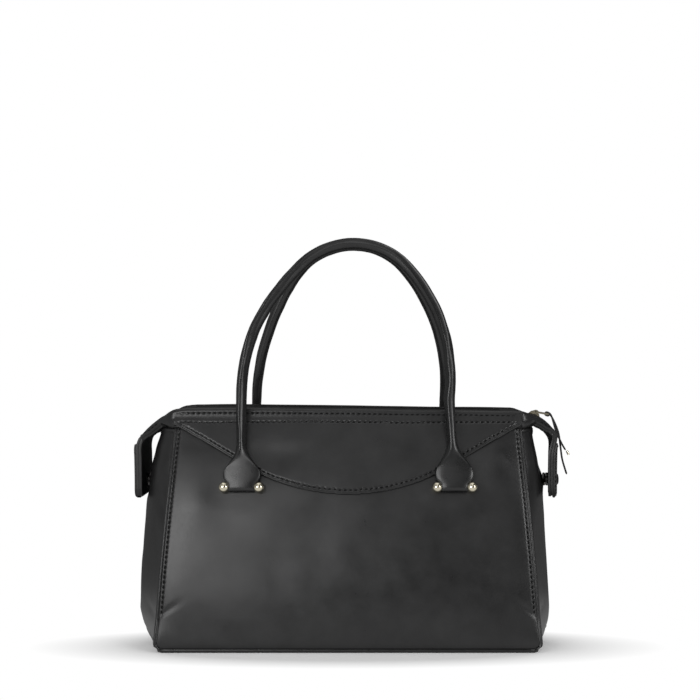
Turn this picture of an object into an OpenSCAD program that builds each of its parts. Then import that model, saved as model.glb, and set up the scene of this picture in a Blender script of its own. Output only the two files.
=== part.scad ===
/* [Body] */
// Width of the front and back panels at the floor
panel_bottom_w = 298; // [270:1:330]
// Width of the front and back panels at the top of the side panels
panel_corner_w = 281; // [255:1:300]
// Depth of the bag at the floor
base_d = 150; // [130:1:170]
// Distance between the outer faces of the two panels at their top edges
mouth_d = 49; // [44:1:56]
// Height of the two crests
crest_h = 187; // [175:1:200]
// Radius of the rolled crest
crest_r = 2.4; // [1.8:0.1:3]
// Outward bow of the front and back walls
wall_bow = 9.5; // [5:0.5:13]
// How far the side panels' upper edges lie below the zip chain
gusset_drop = 7.5; // [3.5:0.5:17.5]
// Greatest outward swell of the side panels
gusset_swell = 25; // [18:1:28]
/* [Leather] */
// Thickness of the front, back and side leather
panel_t = 2.2; // [1.6:0.1:2.4]
// Thickness of the base leather
base_t = 3; // [2:0.1:4]
// Thickness of the stiffening board in the base
board_t = 2; // [1:0.1:3]
// Thickness of the lining
lining_t = 0.8; // [0.5:0.1:1.2]
// Thickness of the yokes
yoke_t = 1.8; // [1.2:0.1:2.2]
// Width of the turned edges beside the upright seams
seam_edge_w = 2.4; // [1.5:0.1:3.5]
// Height of the binding on the side panels
binding_h = 2.6; // [2:0.1:3]
/* [Yoke] */
// How far the yoke's lowest point lies below the crests
yoke_drop = 66.5; // [61:0.5:73]
// Width of the curved middle of the yoke's edge
scallop_w = 140; // [120:1:150]
// Depth of the curve in the yoke's edge
scallop_d = 13.5; // [8:0.5:16]
// How far the yoke's edge lies below the crests at the side seams
yoke_side_drop = 15.2; // [12:0.1:22]
/* [Zip] */
// Half of the gap between the two zip facings
zip_gap = 7; // [6:0.1:8]
// How far the middle of the zip chain lies below the crests
chain_drop = 9.5; // [9:0.1:10.5]
// Thickness of the zip facings
facing_t = 2; // [1.4:0.1:2.4]
// Distance from one tooth to the next in a row
tooth_pitch = 3.2; // [2.8:0.1:4]
// Length of a tooth along the chain
tooth_len = 1.7; // [1.2:0.1:2.2]
// Height of a tooth
tooth_h = 3; // [2:0.1:3]
// Reach of a tooth across the chain
tooth_reach = 2.5; // [2:0.1:2.6]
// Length of the slider
slider_len = 12; // [10:0.5:14]
// Width of the slider at its mouth
slider_w = 9; // [8.6:0.1:10]
// How far the slider's outer end stands out past the crests' ends
slider_out = 21.8; // [18:0.1:22.8]
// How much shorter the chain is at the left end than at the right
stop_in = 9.8; // [6:0.2:14]
/* [Handles] */
// Distance between the two legs of a handle
handle_w = 170; // [150:1:186]
// Length of a handle's straight legs above the bar
handle_leg = 76.5; // [60:0.5:90]
// Height of the arch above the straight legs
arch_h = 128.5; // [105:0.5:140]
// Radius of the top of the arch
arch_r = 58; // [45:1:70]
// Diameter of the rolled handle
roll_d = 10; // [8:0.5:12]
// Diameter of the core in the roll
core_d = 7; // [5:0.5:7.5]
// Greatest width of a handle's flared end
flare_w = 30; // [24:0.5:32]
// Height at which the flared end meets the roll
flare_h = 30; // [24:0.5:36]
/* [Studs] */
// How far below the crests the studs pass through the wall
stud_drop = 62.9; // [60:0.1:69]
// Distance between the two studs of a handle end
stud_spacing = 27.8; // [26:0.1:30]
// Diameter of a stud's ball
ball_d = 8.6; // [7.6:0.1:9.4]
// Diameter of the bar between two studs
bar_d = 3.2; // [2.4:0.1:3.6]
// Diameter of a stud's shank
shank_d = 3.6; // [3:0.1:4]
/* [Tabs] */
// Width of the end tabs
tab_w = 44; // [36:1:46]
// Distance from the side panel's fold to the outer face of a hanging strap
tab_stand = 9.7; // [9:0.1:13]
// How far the lower ends of the tabs lie below the crests
tab_drop = 76; // [73:1:87]
// How far the upper end of the tab's patch lies below the crests
patch_drop = 30; // [27:0.5:37]
// Thickness of the strap
strap_t = 2.3; // [1.8:0.1:2.6]
// Thickness of the strap's backing
backing_t = 2; // [1.4:0.1:2.2]
// Thickness of the tab's patch
patch_t = 1.5; // [1:0.1:2]
// Radius of the tab's lower corners
tab_corner_r = 9; // [5:0.5:14]
// How far the snap fastener lies below the crests
snap_drop = 62; // [57:0.5:65]
// Diameter of the snap fastener's cap and base
snap_d = 11; // [9:0.5:12]
/* [Pull] */
// Length of the pull's metal link between its two bars
link_len = 9.5; // [8:0.5:12]
// Width of each leather tail
tail_w = 2.3; // [1.8:0.1:2.4]
// Thickness of each leather tail
tail_t = 1.4; // [1:0.1:1.8]

/* [Hidden] */

leather = "#1d1c1d";
lining_cloth = "#2a2728";
pale_gold = "#cfc3a0";
tape_cloth = "#151516";

round_fn = 48;
wall_fn = 192;

// Space left between two layers that are sewn or glued together
seam_gap = 0.1;
// Radial clearance of a turning fit
run_gap = 0.05;
// How far a cutting shape runs past what it cuts
overrun = 2;

// The upper parts hang from the crests
chain_h = crest_h - chain_drop;
gusset_h = chain_h - gusset_drop;
yoke_low_h = crest_h - yoke_drop;
yoke_side_h = crest_h - yoke_side_drop;
stud_h = crest_h - stud_drop;
snap_h = crest_h - snap_drop;
patch_h = crest_h - patch_drop;
tab_low_h = crest_h - tab_drop;
panel_top = crest_h - 2 * crest_r - 2 * seam_gap;
panel_low = base_t + seam_gap;

// The front wall's curve, an arc in the upright plane across the bag
wall_rise = panel_top - base_t;
wall_lean = (base_d - mouth_d) / 2;
wall_chord = norm([wall_rise, wall_lean]);
wall_r = wall_chord * wall_chord / (8 * wall_bow) + wall_bow / 2;
wall_c_out = (base_d + mouth_d) / 4 - (wall_r - wall_bow) * wall_rise / wall_chord;
wall_c_h = (panel_top + base_t) / 2 - (wall_r - wall_bow) * wall_lean / wall_chord;

// Distance from the middle plane to the wall's outer face at height h
function wall_out(h) = wall_c_out + sqrt(wall_r * wall_r - (h - wall_c_h) * (h - wall_c_h));

// Half of the panel's width at height h
function panel_half(h) = (panel_bottom_w + (panel_corner_w - panel_bottom_w) * h / gusset_h) / 2;

// The side panel's swell from floor to top, as shares of its height and of its greatest swell
swell_shares = [[0, 0.88], [0.35, 1], [0.63, 0.95], [0.735, 0.89], [0.88, 0.7], [1, 0.46]];
function swell(h) = gusset_swell * lookup(h / gusset_h, swell_shares);

// The crests end just outside the seams, and the slider stops beyond them
wing_share = 0.25;
wing_x = panel_half(crest_h) + wing_share * seam_edge_w;
slider_x = wing_x + slider_out;

// The side panel's fold at the snap's lower rim carries the hanging strap's place
snap_low_h = snap_h - snap_d / 2;
gusset_x = panel_half(snap_low_h) + swell(snap_low_h);
strap_x = gusset_x + tab_stand;

// The side panel's soft middle fold, from 1 at the middle to 0 at the seams
fold_share = 0.15;
fold_power = 1.15;
fold_far = norm([1, fold_share]);
function fold(t) = pow(max(0, (fold_far - norm([t, fold_share])) / (fold_far - fold_share)), fold_power);
fold_steps = 12;
gusset_rows = 9;

module right(mirrored = false) {
  mirror([mirrored ? 1 : 0, 0, 0]) children();
}

module front(mirrored = false) {
  mirror([0, mirrored ? 1 : 0, 0]) children();
}

// A layer of the front wall whose outer face lies out from the wall's curve
module wall_layer(out, t, w) {
  translate([0, -wall_c_out, wall_c_h])
    rotate([0, 90, 0])
      difference() {
        cylinder(r = wall_r + out, h = w, center = true, $fn = wall_fn);
        cylinder(r = wall_r + out - t, h = w + overrun, center = true, $fn = wall_fn);
      }
}

// An upright outline, seen from the front, through the front half of the bag
module front_outline() {
  rotate([90, 0, 0]) linear_extrude(base_d) children();
}

// A panel with straight sides between two heights, drawn in by inset at each side
module panel_shape(low, high, inset) {
  polygon([
    [-panel_half(low) + inset, low], [panel_half(low) - inset, low],
    [panel_half(high) - inset, high], [-panel_half(high) + inset, high]]);
}

// The studs stand square to the wall
stud_angle = asin((stud_h - wall_c_h) / wall_r);
ball_off = ball_d / 2 + seam_gap;
bar_out = wall_out(stud_h) + ball_off * cos(stud_angle);
bar_h = stud_h + ball_off * sin(stud_angle);

// The places along the bar of the four studs of one handle
stud_places = [for (side = [-1, 1], end = [-1, 1]) side * handle_w / 2 + end * stud_spacing / 2];

module at_studs() {
  for (x = stud_places)
    translate([x, -bar_out, bar_h]) rotate([90 - stud_angle, 0, 0]) children();
}

stay_t = 1.5;
inner_stack = ball_off + panel_t + lining_t + stay_t + 3 * seam_gap;
washer_t = 0.8;
washer_d = 8.4;
screw_head_t = 1.4;
screw_head_d = 7;

module stud_holes() {
  at_studs()
    translate([0, 0, -inner_stack - overrun])
      cylinder(d = shank_d + 2 * run_gap, h = inner_stack + overrun, $fn = round_fn);
}

module wall_panel() {
  color(leather)
    difference() {
      intersection() {
        wall_layer(0, panel_t, panel_bottom_w + 2 * overrun);
        front_outline() panel_shape(panel_low, panel_top, 0);
      }
      stud_holes();
    }
}

lining_inset = panel_t + lining_t + 3 * seam_gap;
lining_top = panel_top - facing_t;

module wall_lining() {
  color(lining_cloth)
    difference() {
      intersection() {
        wall_layer(-panel_t - seam_gap, lining_t, panel_bottom_w);
        front_outline() panel_shape(panel_low, lining_top, lining_inset);
      }
      stud_holes();
    }
}

// The stay is a leather strip inside the wall that spreads the pull of the studs
stay_h = 26;
stay_margin = 9;

module wall_stay() {
  color(leather)
    difference() {
      intersection() {
        wall_layer(-panel_t - lining_t - 2 * seam_gap, stay_t, panel_bottom_w);
        front_outline()
          translate([0, stud_h])
            square([handle_w + stud_spacing + 2 * stay_margin, stay_h], center = true);
      }
      stud_holes();
    }
}

// The yoke's lower edge is an arc between two straight slopes
scallop_r = scallop_w * scallop_w / (8 * scallop_d) + scallop_d / 2;
scallop_angle = asin(scallop_w / (2 * scallop_r));
scallop_steps = 20;
scallop = [
  for (i = [0:scallop_steps])
    let (a = scallop_angle * (2 * i / scallop_steps - 1))
      [scallop_r * sin(a), yoke_low_h + scallop_r * (1 - cos(a))]];

module yoke_shape() {
  polygon(concat(
    [[-panel_half(panel_top), panel_top], [-panel_half(yoke_side_h), yoke_side_h]],
    scallop,
    [[panel_half(yoke_side_h), yoke_side_h], [panel_half(panel_top), panel_top]]));
}

module yoke() {
  color(leather)
    intersection() {
      wall_layer(seam_gap + yoke_t, yoke_t, panel_bottom_w);
      front_outline() yoke_shape();
    }
}

// The turned edge of the side panel shows as a narrow strip beside the front panel
module seam_edge() {
  edge_low = panel_half(panel_low) + seam_gap;
  edge_high = panel_half(gusset_h) + seam_gap;
  color(leather)
    intersection() {
      wall_layer(-seam_gap, panel_t - seam_gap, panel_bottom_w + 4 * seam_edge_w);
      front_outline()
        polygon([
          [edge_low, panel_low], [edge_low + seam_edge_w, panel_low],
          [edge_high + seam_edge_w, gusset_h], [edge_high, gusset_h]]);
    }
}

// Outline of the base, drawn in by inset, with the folded side panels' swell at each end
function base_end(inset, side) = [
  for (i = [0:fold_steps])
    let (t = side * (2 * i / fold_steps - 1))
      [side * (panel_bottom_w / 2 - inset + swell(0) * fold(t)), t * (base_d / 2 - inset)]];

module base_layer(inset, low, t) {
  translate([0, 0, low])
    linear_extrude(t) polygon(concat(base_end(inset, 1), base_end(inset, -1)));
}

board_inset = panel_t + lining_t + seam_edge_w;

module base_panel() {
  color(leather) base_layer(0, 0, base_t);
}

module base_board() {
  color("#4a4038") base_layer(board_inset, base_t + seam_gap, board_t);
}

module base_lining() {
  color(lining_cloth) base_layer(board_inset, base_t + board_t + 2 * seam_gap, lining_t);
}

// Faces of a closed sheet made of an outer and an inner grid of points
function grid_at(cols, i, j) = i * (cols + 1) + j;
function sheet_faces(rows, cols) =
  let (half = (rows + 1) * (cols + 1))
    concat(
      [for (i = [0:rows - 1], j = [0:cols - 1])
        let (a = grid_at(cols, i, j), b = grid_at(cols, i, j + 1), c = grid_at(cols, i + 1, j + 1))
          [c, b, a]],
      [for (i = [0:rows - 1], j = [0:cols - 1])
        let (a = grid_at(cols, i, j), c = grid_at(cols, i + 1, j + 1), d = grid_at(cols, i + 1, j))
          [d, c, a]],
      [for (i = [0:rows - 1], j = [0:cols - 1])
        let (a = grid_at(cols, i, j), b = grid_at(cols, i, j + 1), c = grid_at(cols, i + 1, j + 1))
          [half + a, half + b, half + c]],
      [for (i = [0:rows - 1], j = [0:cols - 1])
        let (a = grid_at(cols, i, j), c = grid_at(cols, i + 1, j + 1), d = grid_at(cols, i + 1, j))
          [half + a, half + c, half + d]],
      [for (i = [0:rows - 1], j = [0, cols])
        let (a = grid_at(cols, i, j), d = grid_at(cols, i + 1, j))
          j == 0 ? [a, half + a, half + d] : [half + d, half + a, a]],
      [for (i = [0:rows - 1], j = [0, cols])
        let (a = grid_at(cols, i, j), d = grid_at(cols, i + 1, j))
          j == 0 ? [a, half + d, d] : [d, half + d, a]],
      [for (j = [0:cols - 1], i = [0, rows])
        let (a = grid_at(cols, i, j), b = grid_at(cols, i, j + 1))
          i == 0 ? [a, b, half + b] : [half + b, b, a]],
      [for (j = [0:cols - 1], i = [0, rows])
        let (a = grid_at(cols, i, j), b = grid_at(cols, i, j + 1))
          i == 0 ? [a, half + b, half + a] : [half + a, half + b, a]]);

// A layer of the side panel, inset from its outer face and held back from the walls
module gusset_layer(inset, t, hold, low, high) {
  function place(i, j, depth) =
    let (
      h = low + (high - low) * i / gusset_rows,
      across = 2 * j / fold_steps - 1,
      reach = wall_out(h) - panel_t - seam_gap - hold)
        [panel_half(h) + swell(h) * fold(across) - depth, across * reach, h];
  polyhedron(
    concat(
      [for (i = [0:gusset_rows], j = [0:fold_steps]) place(i, j, inset)],
      [for (i = [0:gusset_rows], j = [0:fold_steps]) place(i, j, inset + t)]),
    sheet_faces(gusset_rows, fold_steps));
}

module gusset() {
  color(leather) gusset_layer(0, panel_t, 0, panel_low, gusset_h);
}

module gusset_lining() {
  color(lining_cloth)
    gusset_layer(panel_t + seam_gap, lining_t, lining_t + seam_gap, panel_low, gusset_h - binding_h);
}

// The binding closes the side panel's upper edge and stands out by a share of its thickness
lip_share = 0.25;
module gusset_binding() {
  reach = wall_out(gusset_h + binding_h) - panel_t - seam_gap;
  function edge(depth) = [
    for (i = [0:fold_steps])
      let (t = 2 * i / fold_steps - 1)
        [panel_half(gusset_h) + swell(gusset_h) * fold(t) - depth, t * reach]];
  lip = lip_share * panel_t;
  ends = edge(panel_t + lip);
  color(leather)
    translate([0, 0, gusset_h + seam_gap])
      linear_extrude(binding_h)
        polygon(concat(edge(-lip), [for (i = [fold_steps:-1:0]) ends[i]]));
}

// Outline of a strip of thickness t beside a path; it lies at the path's right hand
function strip_side(path, i) =
  let (
    ahead = path[min(i + 1, len(path) - 1)],
    behind = path[max(i - 1, 0)],
    way = (ahead - behind) / norm(ahead - behind))
      [way[1], -way[0]];
function beside(path, t) = [for (i = [0:len(path) - 1]) path[i] + t * strip_side(path, i)];
function strip(path, near, far) =
  let (outer = beside(path, near), inner = beside(path, far))
    concat(inner, [for (i = [len(path) - 1:-1:0]) outer[i]]);

// The rolled crest and the facing that slopes from it down to the zip
tape_t = 0.7;
crest_out = (mouth_d - panel_t + yoke_t) / 2;
facing_h = chain_h + tape_t / 2 + seam_gap + facing_t;
facing_half = wing_x - 2 * seam_gap;

module zip_facing() {
  slope = [[-crest_out, crest_h], [-zip_gap, facing_h]];
  color(leather)
    rotate([90, 0, 90])
      linear_extrude(2 * facing_half, center = true)
        union() {
          translate([-crest_out, crest_h - crest_r]) circle(crest_r, $fn = round_fn);
          polygon(strip(slope, 0, facing_t));
        }
}

// The strap's outer face runs level from the crest, slopes over the side and hangs down.
// The shares follow its reach and its drop, and it turns on the middle of the slope.
wing_reach = strap_x - wing_x;
wing_drop = crest_h - patch_h + strap_t + 2 * backing_t;
slope_shares = [[0, 0], [0.13, 0.025], [0.25, 0.09], [0.36, 0.18], [0.6, 0.365]];
bend_shares = [[0.93, 0.7], [0.98, 0.86], [1, 1.05]];
function on_strap(share) = [wing_x + share[0] * wing_reach, crest_h - share[1] * wing_drop];
slope_path = [for (s = slope_shares) on_strap(s)];
bend_path = [for (s = bend_shares) on_strap(s)];
slope_end = slope_path[len(slope_path) - 1];
slope_way = (bend_path[0] - slope_end) / norm(bend_path[0] - slope_end);
turn_share = 0.82;
turn_point = slope_end + turn_share * (bend_path[0] - slope_end);
turn_gap = 0.15;
wing_path = concat(slope_path, [turn_point - turn_gap * slope_way]);
hang_path = concat([turn_point + turn_gap * slope_way], bend_path, [[strap_x, tab_low_h]]);

wing_t = strap_t + backing_t + seam_gap;
slot_share = 1.4;
slot_end = slider_x + slot_share * tooth_pitch;

// A shape seen from the front, carried through the tab's width
module across_tab(w) {
  rotate([90, 0, 0]) linear_extrude(w, center = true) children();
}

module wing() {
  color(leather)
    difference() {
      across_tab(tab_w) polygon(strip(wing_path, 0, wing_t));
      translate([0, -zip_gap, 0]) cube([slot_end, 2 * zip_gap, crest_h + overrun]);
      translate([0, -tab_w, 0]) cube([wing_x, 2 * tab_w, crest_h + overrun]);
    }
}

// The tab's outline, seen from the side, with its two lower corners rounded
module tab_outline() {
  translate([-tab_w / 2, tab_low_h + tab_corner_r]) square([tab_w, crest_h - tab_low_h]);
  translate([-tab_w / 2 + tab_corner_r, tab_low_h]) square([tab_w - 2 * tab_corner_r, crest_h - tab_low_h]);
  for (side = [-1, 1])
    translate([side * (tab_w / 2 - tab_corner_r), tab_low_h + tab_corner_r])
      circle(tab_corner_r, $fn = round_fn);
}

module tab_cut(high) {
  intersection() {
    children();
    rotate([90, 0, 90]) linear_extrude(2 * strap_x) intersection() {
      tab_outline();
      translate([-tab_w, 0]) square([2 * tab_w, high]);
    }
  }
}

// The snap's post passes through every layer of the tab
snap_post_d = 3.2;
snap_cap_t = 1.3;
snap_socket_t = 2.6;
snap_stud_d = 4.6;
snap_depth = 1.6;
snap_play = 0.35;

module snap_axis() {
  translate([0, 0, snap_h]) rotate([0, 90, 0]) children();
}

module snap_hole() {
  snap_axis() cylinder(d = snap_post_d + 2 * run_gap, h = 2 * strap_x, $fn = round_fn);
}

module tab_strap() {
  color(leather)
    difference() {
      tab_cut(crest_h) across_tab(tab_w) polygon(strip(hang_path, 0, strap_t));
      snap_hole();
    }
}

module tab_backing() {
  color(leather)
    difference() {
      tab_cut(crest_h) across_tab(tab_w) polygon(strip(hang_path, strap_t + seam_gap, wing_t));
      snap_hole();
    }
}

module tab_patch() {
  color(leather)
    difference() {
      tab_cut(patch_h)
        translate([strap_x + seam_gap, -tab_w / 2, 0]) cube([patch_t, tab_w, crest_h]);
      snap_hole();
    }
}

backing_x = strap_x - wing_t;
cap_x = strap_x + patch_t + 2 * seam_gap;

module snap_cap() {
  color(pale_gold)
    snap_axis() {
      translate([0, 0, cap_x]) cylinder(d1 = snap_d, d2 = snap_d - 2 * snap_cap_t, h = snap_cap_t, $fn = round_fn);
      translate([0, 0, backing_x]) cylinder(d = snap_post_d, h = cap_x - backing_x, $fn = round_fn);
    }
}

module snap_socket() {
  color(pale_gold)
    snap_axis()
      translate([0, 0, backing_x - seam_gap - snap_socket_t])
        difference() {
          cylinder(d = snap_d, h = snap_socket_t, $fn = round_fn);
          translate([0, 0, -overrun])
            cylinder(d = snap_stud_d + 2 * snap_play, h = snap_depth + snap_play + overrun, $fn = round_fn);
        }
}

// The snap's lower half stands on the side panel's fold
snap_base_t = 1.2;

module snap_stud() {
  socket_x = backing_x - seam_gap - snap_socket_t;
  base_x = gusset_x + 2 * seam_gap;
  color(pale_gold)
    snap_axis() {
      translate([0, 0, base_x]) cylinder(d = snap_d, h = snap_base_t, $fn = round_fn);
      translate([0, 0, base_x]) cylinder(d = snap_stud_d, h = socket_x + snap_depth - base_x, $fn = round_fn);
    }
}

// Each tape runs level beside the teeth and dips into the end of the slot in the wing.
// The chain starts at the left, hidden by the strap, and ends at the right under the parked slider.
chain_gap = 0.5;
chain_share = 0.125;
chain_end = slider_x + chain_share * tooth_pitch;
chain_start = chain_end - stop_in;
tape_dip = 2.2;
tape_under = 5;

module half_tape() {
  tape_in = chain_gap + tooth_reach + seam_gap;
  narrow = zip_gap - 2 * seam_gap - tape_in;
  top = chain_h + tape_t / 2;
  color(tape_cloth) {
    translate([-facing_half, tape_in, chain_h - tape_t / 2])
      cube([2 * facing_half, narrow + tape_under, tape_t]);
    for (side = [0, 1])
      right(side == 1)
        translate([0, tape_in + narrow, 0])
          rotate([90, 0, 0])
            linear_extrude(narrow)
              polygon(strip([
                [0, top], [side == 1 ? chain_start : chain_end, top], [slot_end - 2 * seam_gap, top - tape_dip * tape_t]], 0, tape_t));
  }
}

module zip_tapes() {
  half_tape();
  front(true) half_tape();
}

// The two rows of teeth stand half a pitch apart, and the slider's fin runs between them
stop_len = 3;
tooth_count = floor((chain_start + chain_end - 2 * stop_len) / tooth_pitch);

module zip_teeth(offset) {
  color(pale_gold)
    for (i = [0:tooth_count - 1])
      translate([chain_end - tooth_len - (i + offset) * tooth_pitch, chain_gap, chain_h - tooth_h / 2])
        cube([tooth_len, tooth_reach, tooth_h]);
}

module zip_stops() {
  color(pale_gold)
    for (side = [-1, 1])
      translate([-chain_start, side < 0 ? -chain_gap - tooth_reach : chain_gap, chain_h - tooth_h / 2])
        cube([stop_len, tooth_reach, tooth_h]);
}

// The slider has an upper and a lower plate, joined by a fin, with turned-in edges
slider_gap = 0.3;
plate_t = 1;
fin_share = 0.5;
rim_w = 1.1;
slider_taper = 0.8;
lug_w = 3;
lug_r = 1.9;
link_bar_d = 1.6;
upper_plate_h = chain_h + tooth_h / 2 + slider_gap;
lug_share = 0.75;
pivot_h = upper_plate_h + lug_share * plate_t + lug_r;
pivot_x = slider_x - lug_r;

module slider_plan() {
  polygon([
    [slider_x - slider_len, slider_taper - slider_w / 2], [slider_x, -slider_w / 2],
    [slider_x, slider_w / 2], [slider_x - slider_len, slider_w / 2 - slider_taper]]);
}

module slider_half() {
  rim_low = chain_h + tape_t / 2 + slider_gap;
  translate([0, 0, upper_plate_h]) linear_extrude(plate_t) slider_plan();
  translate([0, 0, rim_low])
    linear_extrude(upper_plate_h - rim_low)
      difference() {
        slider_plan();
        square([2 * slider_x, slider_w - 2 * rim_w], center = true);
      }
}

module slider() {
  color(pale_gold)
    difference() {
      union() {
        slider_half();
        translate([0, 0, 2 * chain_h]) mirror([0, 0, 1]) slider_half();
        fin_t = 2 * chain_gap * fin_share;
        translate([slider_x - slider_len / 2, -fin_t / 2, 2 * chain_h - upper_plate_h - plate_t / 2])
          cube([slider_len / 2, fin_t, 2 * (upper_plate_h - chain_h) + plate_t]);
        across_tab(lug_w) {
          translate([pivot_x, pivot_h]) circle(lug_r, $fn = round_fn);
          polygon([
            [slider_x - slider_len + lug_r, upper_plate_h + plate_t / 2], [slider_x, upper_plate_h + plate_t / 2],
            [slider_x, pivot_h], [pivot_x, pivot_h + lug_r],
            [slider_x - slider_len / 2, pivot_h + lug_r / 2]]);
        }
      }
      translate([pivot_x, 0, pivot_h])
        rotate([90, 0, 0]) cylinder(d = link_bar_d + 2 * run_gap, h = 2 * lug_w, center = true, $fn = round_fn);
    }
}

// The link's far bar rests just above the level of the teeth
rail_t = 1;
rail_h = 1.5;
link_drop = pivot_h - chain_h - tooth_h / 2 - rail_h / 2 - 2 * slider_gap;
link_angle = asin(link_drop / link_len);
rail_in = tail_w + 3 * seam_gap;
link_end = [pivot_x + link_len * cos(link_angle), pivot_h - link_drop];

module pull_link() {
  color(pale_gold)
    translate([pivot_x, 0, pivot_h])
      rotate([0, link_angle, 0]) {
        for (x = [0, link_len])
          translate([x, 0, 0])
            rotate([90, 0, 0]) cylinder(d = link_bar_d, h = 2 * rail_in + rail_t, center = true, $fn = round_fn);
        for (side = [-1, 1])
          translate([0, side * (rail_in + rail_t / 2), 0])
            across_tab(rail_t) {
              translate([0, -rail_h / 2]) square([link_len, rail_h]);
              circle(link_bar_d / 2, $fn = round_fn);
              translate([link_len, 0]) circle(link_bar_d / 2, $fn = round_fn);
            }
      }
}

// The tails' routes, as shares of their reach outwards and of their drop from the link's far bar
upper_reach = 17;
upper_drop = 31;
lower_reach = 17;
lower_drop = 52;
upper_shares = [[0.12, 0], [0.27, 0.12], [0.45, 0.38], [0.68, 0.68], [1, 1]];
lower_shares = [[0.12, 0.01], [0.34, 0.12], [0.58, 0.32], [0.68, 0.55], [0.78, 0.77], [1, 1]];
function tail_path(shares, reach, drop) = [for (s = shares) link_end + [s[0] * reach, -s[1] * drop]];
upper_path = tail_path(upper_shares, upper_reach, upper_drop);
lower_path = tail_path(lower_shares, lower_reach, lower_drop);

module pull_tail(path, side) {
  color(leather)
    translate([0, side * (tail_w + seam_gap) / 2, 0])
      across_tab(tail_w)
        difference() {
          union() {
            polygon(strip(path, 0, tail_t));
            translate(link_end) circle(d = link_bar_d + 2 * tail_t, $fn = round_fn);
          }
          translate(link_end) circle(d = link_bar_d + 2 * run_gap, $fn = round_fn);
        }
}

tip_d = 2;
tip_len = 3.4;

module pull_tip() {
  tail_end = upper_path[len(upper_path) - 1];
  before = upper_path[len(upper_path) - 2];
  way = (tail_end - before) / norm(tail_end - before);
  middle = tail_end + tail_t / 2 * strip_side(upper_path, len(upper_path) - 1);
  color(pale_gold)
    translate([middle[0] + seam_gap * way[0], -(tail_w + seam_gap) / 2, middle[1] + seam_gap * way[1]])
      rotate([0, 180 - atan2(way[0], -way[1]), 0])
        cylinder(d = tip_d, h = tip_len, $fn = round_fn);
}

// The handles lean in until their tops meet
roll_apex = handle_leg + arch_h;
apex_gap = 0.3;
handle_lean = asin((bar_out - roll_d / 2 - apex_gap / 2) / roll_apex);
side_r = (pow(handle_w / 2, 2) + pow(arch_h - arch_r, 2) - arch_r * arch_r) / (handle_w - 2 * arch_r);
side_angle = asin((arch_h - arch_r) / (side_r - arch_r));

module on_handle() {
  translate([0, -bar_out, bar_h]) rotate([-handle_lean, 0, 0]) children();
}

// Stations along the roll: two straight legs, two wide side arcs and a tighter arc over the top.
// Each holds the centre of its arc, the arc's radius and the angle of the roll's outer side.
side_steps = 6;
arch_steps = 12;
roll_sides = 16;
side_c = handle_w / 2 - side_r;
roll_stations = concat(
  [[handle_w / 2, flare_h, 0, 0]],
  [for (k = [0:side_steps]) [side_c, handle_leg, side_r, side_angle * k / side_steps]],
  [for (k = [1:arch_steps - 1])
    [0, roll_apex - arch_r, arch_r, side_angle + (180 - 2 * side_angle) * k / arch_steps]],
  [for (k = [side_steps:-1:0]) [-side_c, handle_leg, side_r, 180 - side_angle * k / side_steps]],
  [[-handle_w / 2, flare_h, 0, 180]]);

function roll_ring(station, r) = [
  for (k = [0:roll_sides - 1])
    let (turn = 360 * k / roll_sides, reach = station[2] + r * cos(turn), a = station[3])
      [station[0] + reach * cos(a), r * sin(turn), station[1] + reach * sin(a)]];

// Faces of the skin between rings of points, looking outwards or inwards
function skin_faces(rings, sides, first, outwards) = [
  for (i = [0:rings - 2], k = [0:sides - 1], half = [0, 1])
    let (
      a = first + i * sides + k,
      b = first + i * sides + (k + 1) % sides,
      face = half == 0 ? [a, a + sides, b] : [b, a + sides, b + sides])
        outwards ? face : [face[2], face[1], face[0]]];

// Faces of the ring-shaped end between an outer and an inner ring
function rim_faces(sides, outer, inner, top) = [
  for (k = [0:sides - 1], half = [0, 1])
    let (
      next = (k + 1) % sides,
      face = half == 0 ? [outer + k, outer + next, inner + k] : [inner + k, outer + next, inner + next])
        top ? [face[2], face[1], face[0]] : face];

module handle_roll() {
  rings = len(roll_stations);
  inner = rings * roll_sides;
  last = (rings - 1) * roll_sides;
  color(leather)
    on_handle()
      polyhedron(
        concat(
          [for (s = roll_stations, p = roll_ring(s, roll_d / 2)) p],
          [for (s = roll_stations, p = roll_ring(s, core_d / 2 + seam_gap)) p]),
        concat(
          skin_faces(rings, roll_sides, 0, true),
          skin_faces(rings, roll_sides, inner, false),
          rim_faces(roll_sides, 0, inner, false),
          rim_faces(roll_sides, last, inner + last, true)));
}

module handle_core() {
  rings = len(roll_stations);
  color("#5a5045")
    on_handle()
      polyhedron(
        [for (s = roll_stations, p = roll_ring(s, core_d / 2)) p],
        concat(
          skin_faces(rings, roll_sides, 0, true),
          [[for (k = [0:roll_sides - 1]) k]],
          [[for (k = [roll_sides - 1:-1:0]) (rings - 1) * roll_sides + k]]));
}

// The loop of a handle's end turns on the bar between two studs
loop_wall = 1.2;
loop_play = 0.4;
loop_d = bar_d + 2 * run_gap + 2 * loop_wall;
loop_w = stud_spacing - ball_d - 2 * loop_play;
loop_h = 6;

module handle_loops() {
  color(leather)
    on_handle()
      for (side = [-1, 1])
        translate([side * handle_w / 2, 0, 0])
          difference() {
            union() {
              rotate([0, 90, 0]) cylinder(d = loop_d, h = loop_w, center = true, $fn = round_fn);
              translate([-loop_w / 2, -loop_d / 2, 0]) cube([loop_w, loop_d, loop_h]);
            }
            rotate([0, 90, 0])
              cylinder(d = bar_d + 2 * run_gap, h = loop_w + overrun, center = true, $fn = round_fn);
          }
}

// The flare swells from the loop to its shoulders and narrows into the round roll.
// Shares: height, half width between roll and shoulder, roundness
flare_shares = [
  [0, 0.52, 0.2], [0.1, 0.84, 0.2], [0.2, 1, 0.25], [0.3, 0.97, 0.35], [0.42, 0.7, 0.55],
  [0.55, 0.38, 0.75], [0.7, 0.14, 0.9], [0.85, 0.03, 1], [1, 0, 1]];
flare_sides = 24;

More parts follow.
